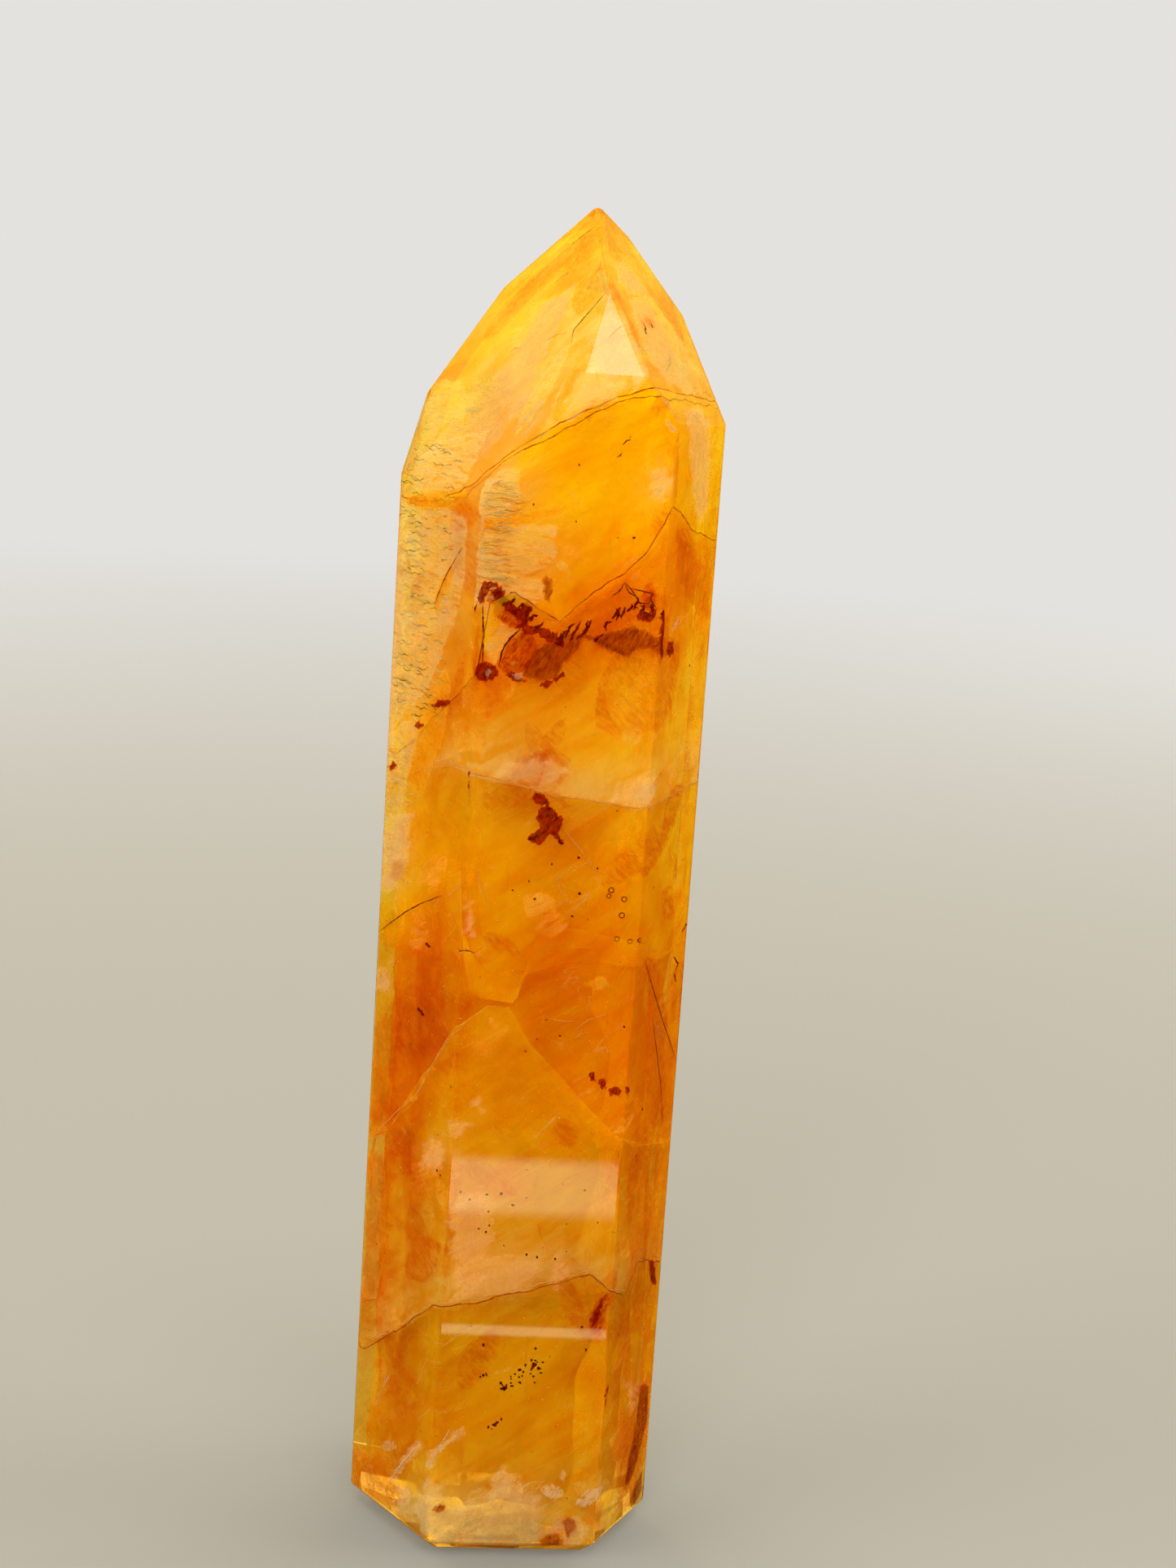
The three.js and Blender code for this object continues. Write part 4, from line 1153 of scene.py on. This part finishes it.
rusty_line = crack_edge("rusty fracture line", "#D47C00", 0.7)
red_line = crack_edge("red fracture line", "#B84000", 0.7)
gold_line = crack_edge("gold fracture line", "#FFDC78", 0.9)
rim_thread("upper_line", rusty_line, "upper", 0.05, 0.3, 31)
rim_thread("upper_line_low", rusty_line, "upper", 0.04, 0.35, 32, -95, 80, shift=-0.5)
rim_thread("hematite_line", red_line, "hematite", 0.04, 0.3, 33)
rim_thread("peach_line", gold_line, "peach", 0.05, 0.3, 34)
rim_thread("beaded_line", gold_line, "beaded", 0.035, 0.35, 36, 15, 90)
rim_thread("foot_line", rusty_line, "foot", 0.06, 0.3, 37)
rim_thread("foot_line_pale", gold_line, "foot", 0.05, 0.35, 38, shift=0.25)


def lump():
    """A small rounded lump: an icosahedron's corners at distance 1, and its faces."""
    gold_ratio = (1 + 5 ** 0.5) / 2
    a, b = np.meshgrid([-1.0, 1.0], [-gold_ratio, gold_ratio])
    flat = np.column_stack([np.zeros(4), a.ravel(), b.ravel()])
    points = np.concatenate([flat, flat[:, [1, 2, 0]], flat[:, [2, 0, 1]]])
    near = np.isclose(np.linalg.norm(points[:, None] - points[None], axis=-1), 2)
    trios = [(i, j, k) for i in range(12) for j in range(i) for k in range(j)
             if near[i, j] and near[j, k] and near[i, k]]
    trios = np.array([t if np.linalg.det(points[list(t)]) > 0 else t[::-1] for t in trios])
    return points / np.linalg.norm(points[0]), trios


lump_points, lump_faces = lump()


def specks(name, material, places, sizes, seed):
    """Small lumps at places in millimetres, each with a radius between two sizes, and
    squashed a little at random."""
    radii = np.random.default_rng(seed).uniform(*sizes, len(places))
    squash = np.random.default_rng(seed + 1).uniform(0.6, 1.3, (len(places), 1, 3))
    many(name, material, places[:, None] + radii[:, None, None] * squash * lump_points[None], lump_faces)


def marked_places(rows):
    """The places in millimetres of rows of (face, depth, [(across, height), ...])."""
    return np.concatenate([under_face(face, *np.array(spots).T, np.full(len(spots), float(depth)))
                           for face, depth, spots in rows])


def scattered(random, count, low, high, deep):
    """Places at random under the faces between two heights and two depths, and the level
    ways out to them."""
    bearings = random.uniform(-180, 180, count)
    heights = random.uniform(low, high, count)
    middle = axis_point(heights)
    ways = bearing_way(bearings)
    out = reach(middle, ways) - random.uniform(*deep, count)
    return middle + out.clip(0)[:, None] * ways, ways


def strewn(count, start, end, near, far, seed):
    """Places (across, height) strewn about a line: each an even random share of the way from
    start to end, and off it by a normal draw times a step that turns from near to far."""
    random = np.random.default_rng(seed)
    share = random.uniform(0, 1, (count, 1))
    off = random.normal(0, 1, (count, 1))
    start, end, near, far = np.array([start, end, near, far])
    return start + share * (end - start) + off * (near + share * (far - near))


specks("iron_grains", crack_edge("iron oxide grain", "#7A2204", 0.9), marked_places([
    ("front", 0.6, seen_under("front", 0.6, [(711, 1054), (678, 1062), (650, 1083), (630, 1094),
        (657, 1105), (712, 1098), (703, 1126), (722, 1130), (734, 1067), (688, 1273), (660, 1277),
        (767, 1262), (740, 1338), (771, 1341)])),
    ("left", 0.17, seen_under("left", 0.5, [(526, 1160), (516, 1240), (520, 1246), (506, 1283), (539, 1438),
        (543, 1444)])),
    ("right", 0.17, seen_under("right", 0.5, [(788, 1363), (789, 1329)])),
    ("front", 0.4, seen_under("front", 0.4, [(566, 1465), (577, 1474), (598, 1468), (616, 1467),
        (647, 1472), (630, 1481), (600, 1489), (588, 1510), (601, 1506), (597, 1514), (619, 1531),
        (647, 1542), (660, 1545), (682, 1547), (594, 1653), (715, 1631), (720, 1659), (598, 1690),
        (708, 641), (779, 661), (759, 661)])),
    ("front", 0.4, strewn(34, (-0.94, 13.24), (1.95, 15.62), (0.1, -0.19), (0.24, -0.51), 5)),
    ("front", 0.4, seen_under("front", 0.4, [(594, 1690), (597, 1688), (600, 1754), (606, 1751),
        (611, 1748), (616, 1744), (604, 1756), (590, 1692)]))]), (0.07, 0.13), 6)
dust = crack_edge("iron oxide dust", "#A04A08", 0.8)
fine_gold = crack_edge("fine gold grain", "#FFE9A0", 0.85)
white_point = crack_edge("white healed point", "#FFF4DC", 0.95)
for name, finish, count, low, high, deepest, sizes, seed in (
        ("iron_dust", dust, 260, 3, 84, 4.0, (0.03, 0.09), 8),
        ("fine_grain", fine_gold, 900, 1.0, 96, 1.4, (0.025, 0.06), 15),
        ("white_sparks", white_point, 160, 1.5, 92, 3.0, (0.02, 0.07), 11)):
    places, _ = scattered(np.random.default_rng(seed), count, low, high, (0.4, deepest))
    specks(name, finish, places, sizes, seed + 1)


def bubbles(name, material, places, radii, steps=20, sides=6):
    """Ring-shaped bubbles that face the front: a circle of about a fifth of the radius
    carried round each ring."""
    thick = 0.22
    turns = (np.linspace(0, 2 * pi, count, endpoint=False) for count in (steps, sides))
    ring_turn, tube_turn = np.meshgrid(*turns, indexing="ij")
    out = 1 + thick * np.cos(tube_turn)
    ring = np.stack([out * np.cos(ring_turn), thick * np.sin(tube_turn), out * np.sin(ring_turn)], axis=-1)
    cells = grid_faces(steps + 1, sides, closed=True) % (steps * sides)
    many(name, material, places[:, None] + radii[:, None, None] * ring.reshape(-1, 3)[None], cells)


ring_places = marked_places([
    ("front", 0.5, seen_under("front", 0.5, [(751, 1094), (748, 1101), (767, 1105), (764, 1125),
        (758, 1154), (774, 1157), (785, 1156), (727, 1321), (741, 1332)]))])
bubbles("ring_bubbles", crack_edge("bubble rim", "#A84A08", 0.85), ring_places,
        np.random.default_rng(14).uniform(0.12, 0.2, len(ring_places)))


# --- Wispy veils -----------------------------------------------------------------------
# Small healed cracks all through the crystal, each a curved leaf of tiny bubbles and iron
# oxide that shows as a gold or cream feather.
def leaves(name, material, count, low, high, length, seed, deep, along=12, over=5):
    """Curved leaves at random places and turns: along each one, the width swells and
    fades as a sine, and the middle bulges off its plane."""
    random = np.random.default_rng(seed)
    u, v = np.meshgrid(np.linspace(0, 1, along), np.linspace(-1, 1, over), indexing="ij")
    swell = np.sin(pi * u) ** 0.7
    up = np.array([0, 0, 1])
    grids, edges = [], []
    for spot, way in zip(*scattered(random, count, low, high, deep)):
        size = length * random.uniform(0.5, 1.5)
        rise = radians(random.uniform(15, 65)) * random.choice([-1, 1])
        run = cos(rise) * np.cross(up, way) + sin(rise) * up
        tilt = random.uniform(-0.7, 0.7)
        wide = np.cross(way, run) * cos(tilt) + way * sin(tilt)
        width = size * random.uniform(0.15, 0.4)
        bulge = np.cross(run, wide) * random.uniform(-0.25, 0.25) * size
        points = (spot + (u - 0.5)[..., None] * size * run + (v * swell)[..., None] * width * wide
                  + (swell ** 2 * (1 - v ** 2))[..., None] * bulge)
        grids.append(points.reshape(-1, 3))
        edges.append((1 - abs(v)) * swell * width)
    many(name, material, inside(np.array(grids), 0.3), grid_faces(along, over), edge=np.array(edges))


# Gold wisps and amber veils are combed by long gaps, and lie both deep in the quartz and
# just under the faces. White feathers lie near the foot and high up.
wisp = inclusion("wispy gold veil", "#FFDC68", "#FFB828", 0.5, 0.6, 0.8, soft=0.5, length=5.0, lean=35,
                 gap=1.0)
amber_wisp = inclusion("amber iron veil", "#F09018", "#C85800", 0.6, 0.8, 0.8, soft=0.6, milk=0.4,
                       length=3.0, lean=-40, gap=0.8)
white_wisp = inclusion("white healed feather", "#FFF6E4", "#FFE2B0", 0.7, 0.5, 0.4, soft=0.3, milk=0.95,
                       length=3.0, lean=35, gap=1.0)
for name, finish, count, low, high, length, seed, deep in (
        ("gold_wisps", wisp, 60, 6, 86, 5.0, 21, (0.8, 7.0)),
        ("near_wisps", wisp, 80, 4, 90, 2.6, 25, (0.25, 0.8)),
        ("amber_wisps", amber_wisp, 45, 8, 78, 7.0, 22, (0.8, 7.0)),
        ("near_amber", amber_wisp, 36, 8, 78, 4.0, 26, (0.25, 0.8)),
        ("foot_feathers", white_wisp, 46, 1.5, 7, 2.2, 23, (0.4, 5.0)),
        ("high_feathers", white_wisp, 26, 60, 92, 1.6, 24, (0.4, 3.0))):
    leaves(name, finish, count, low, high, length, seed, deep)
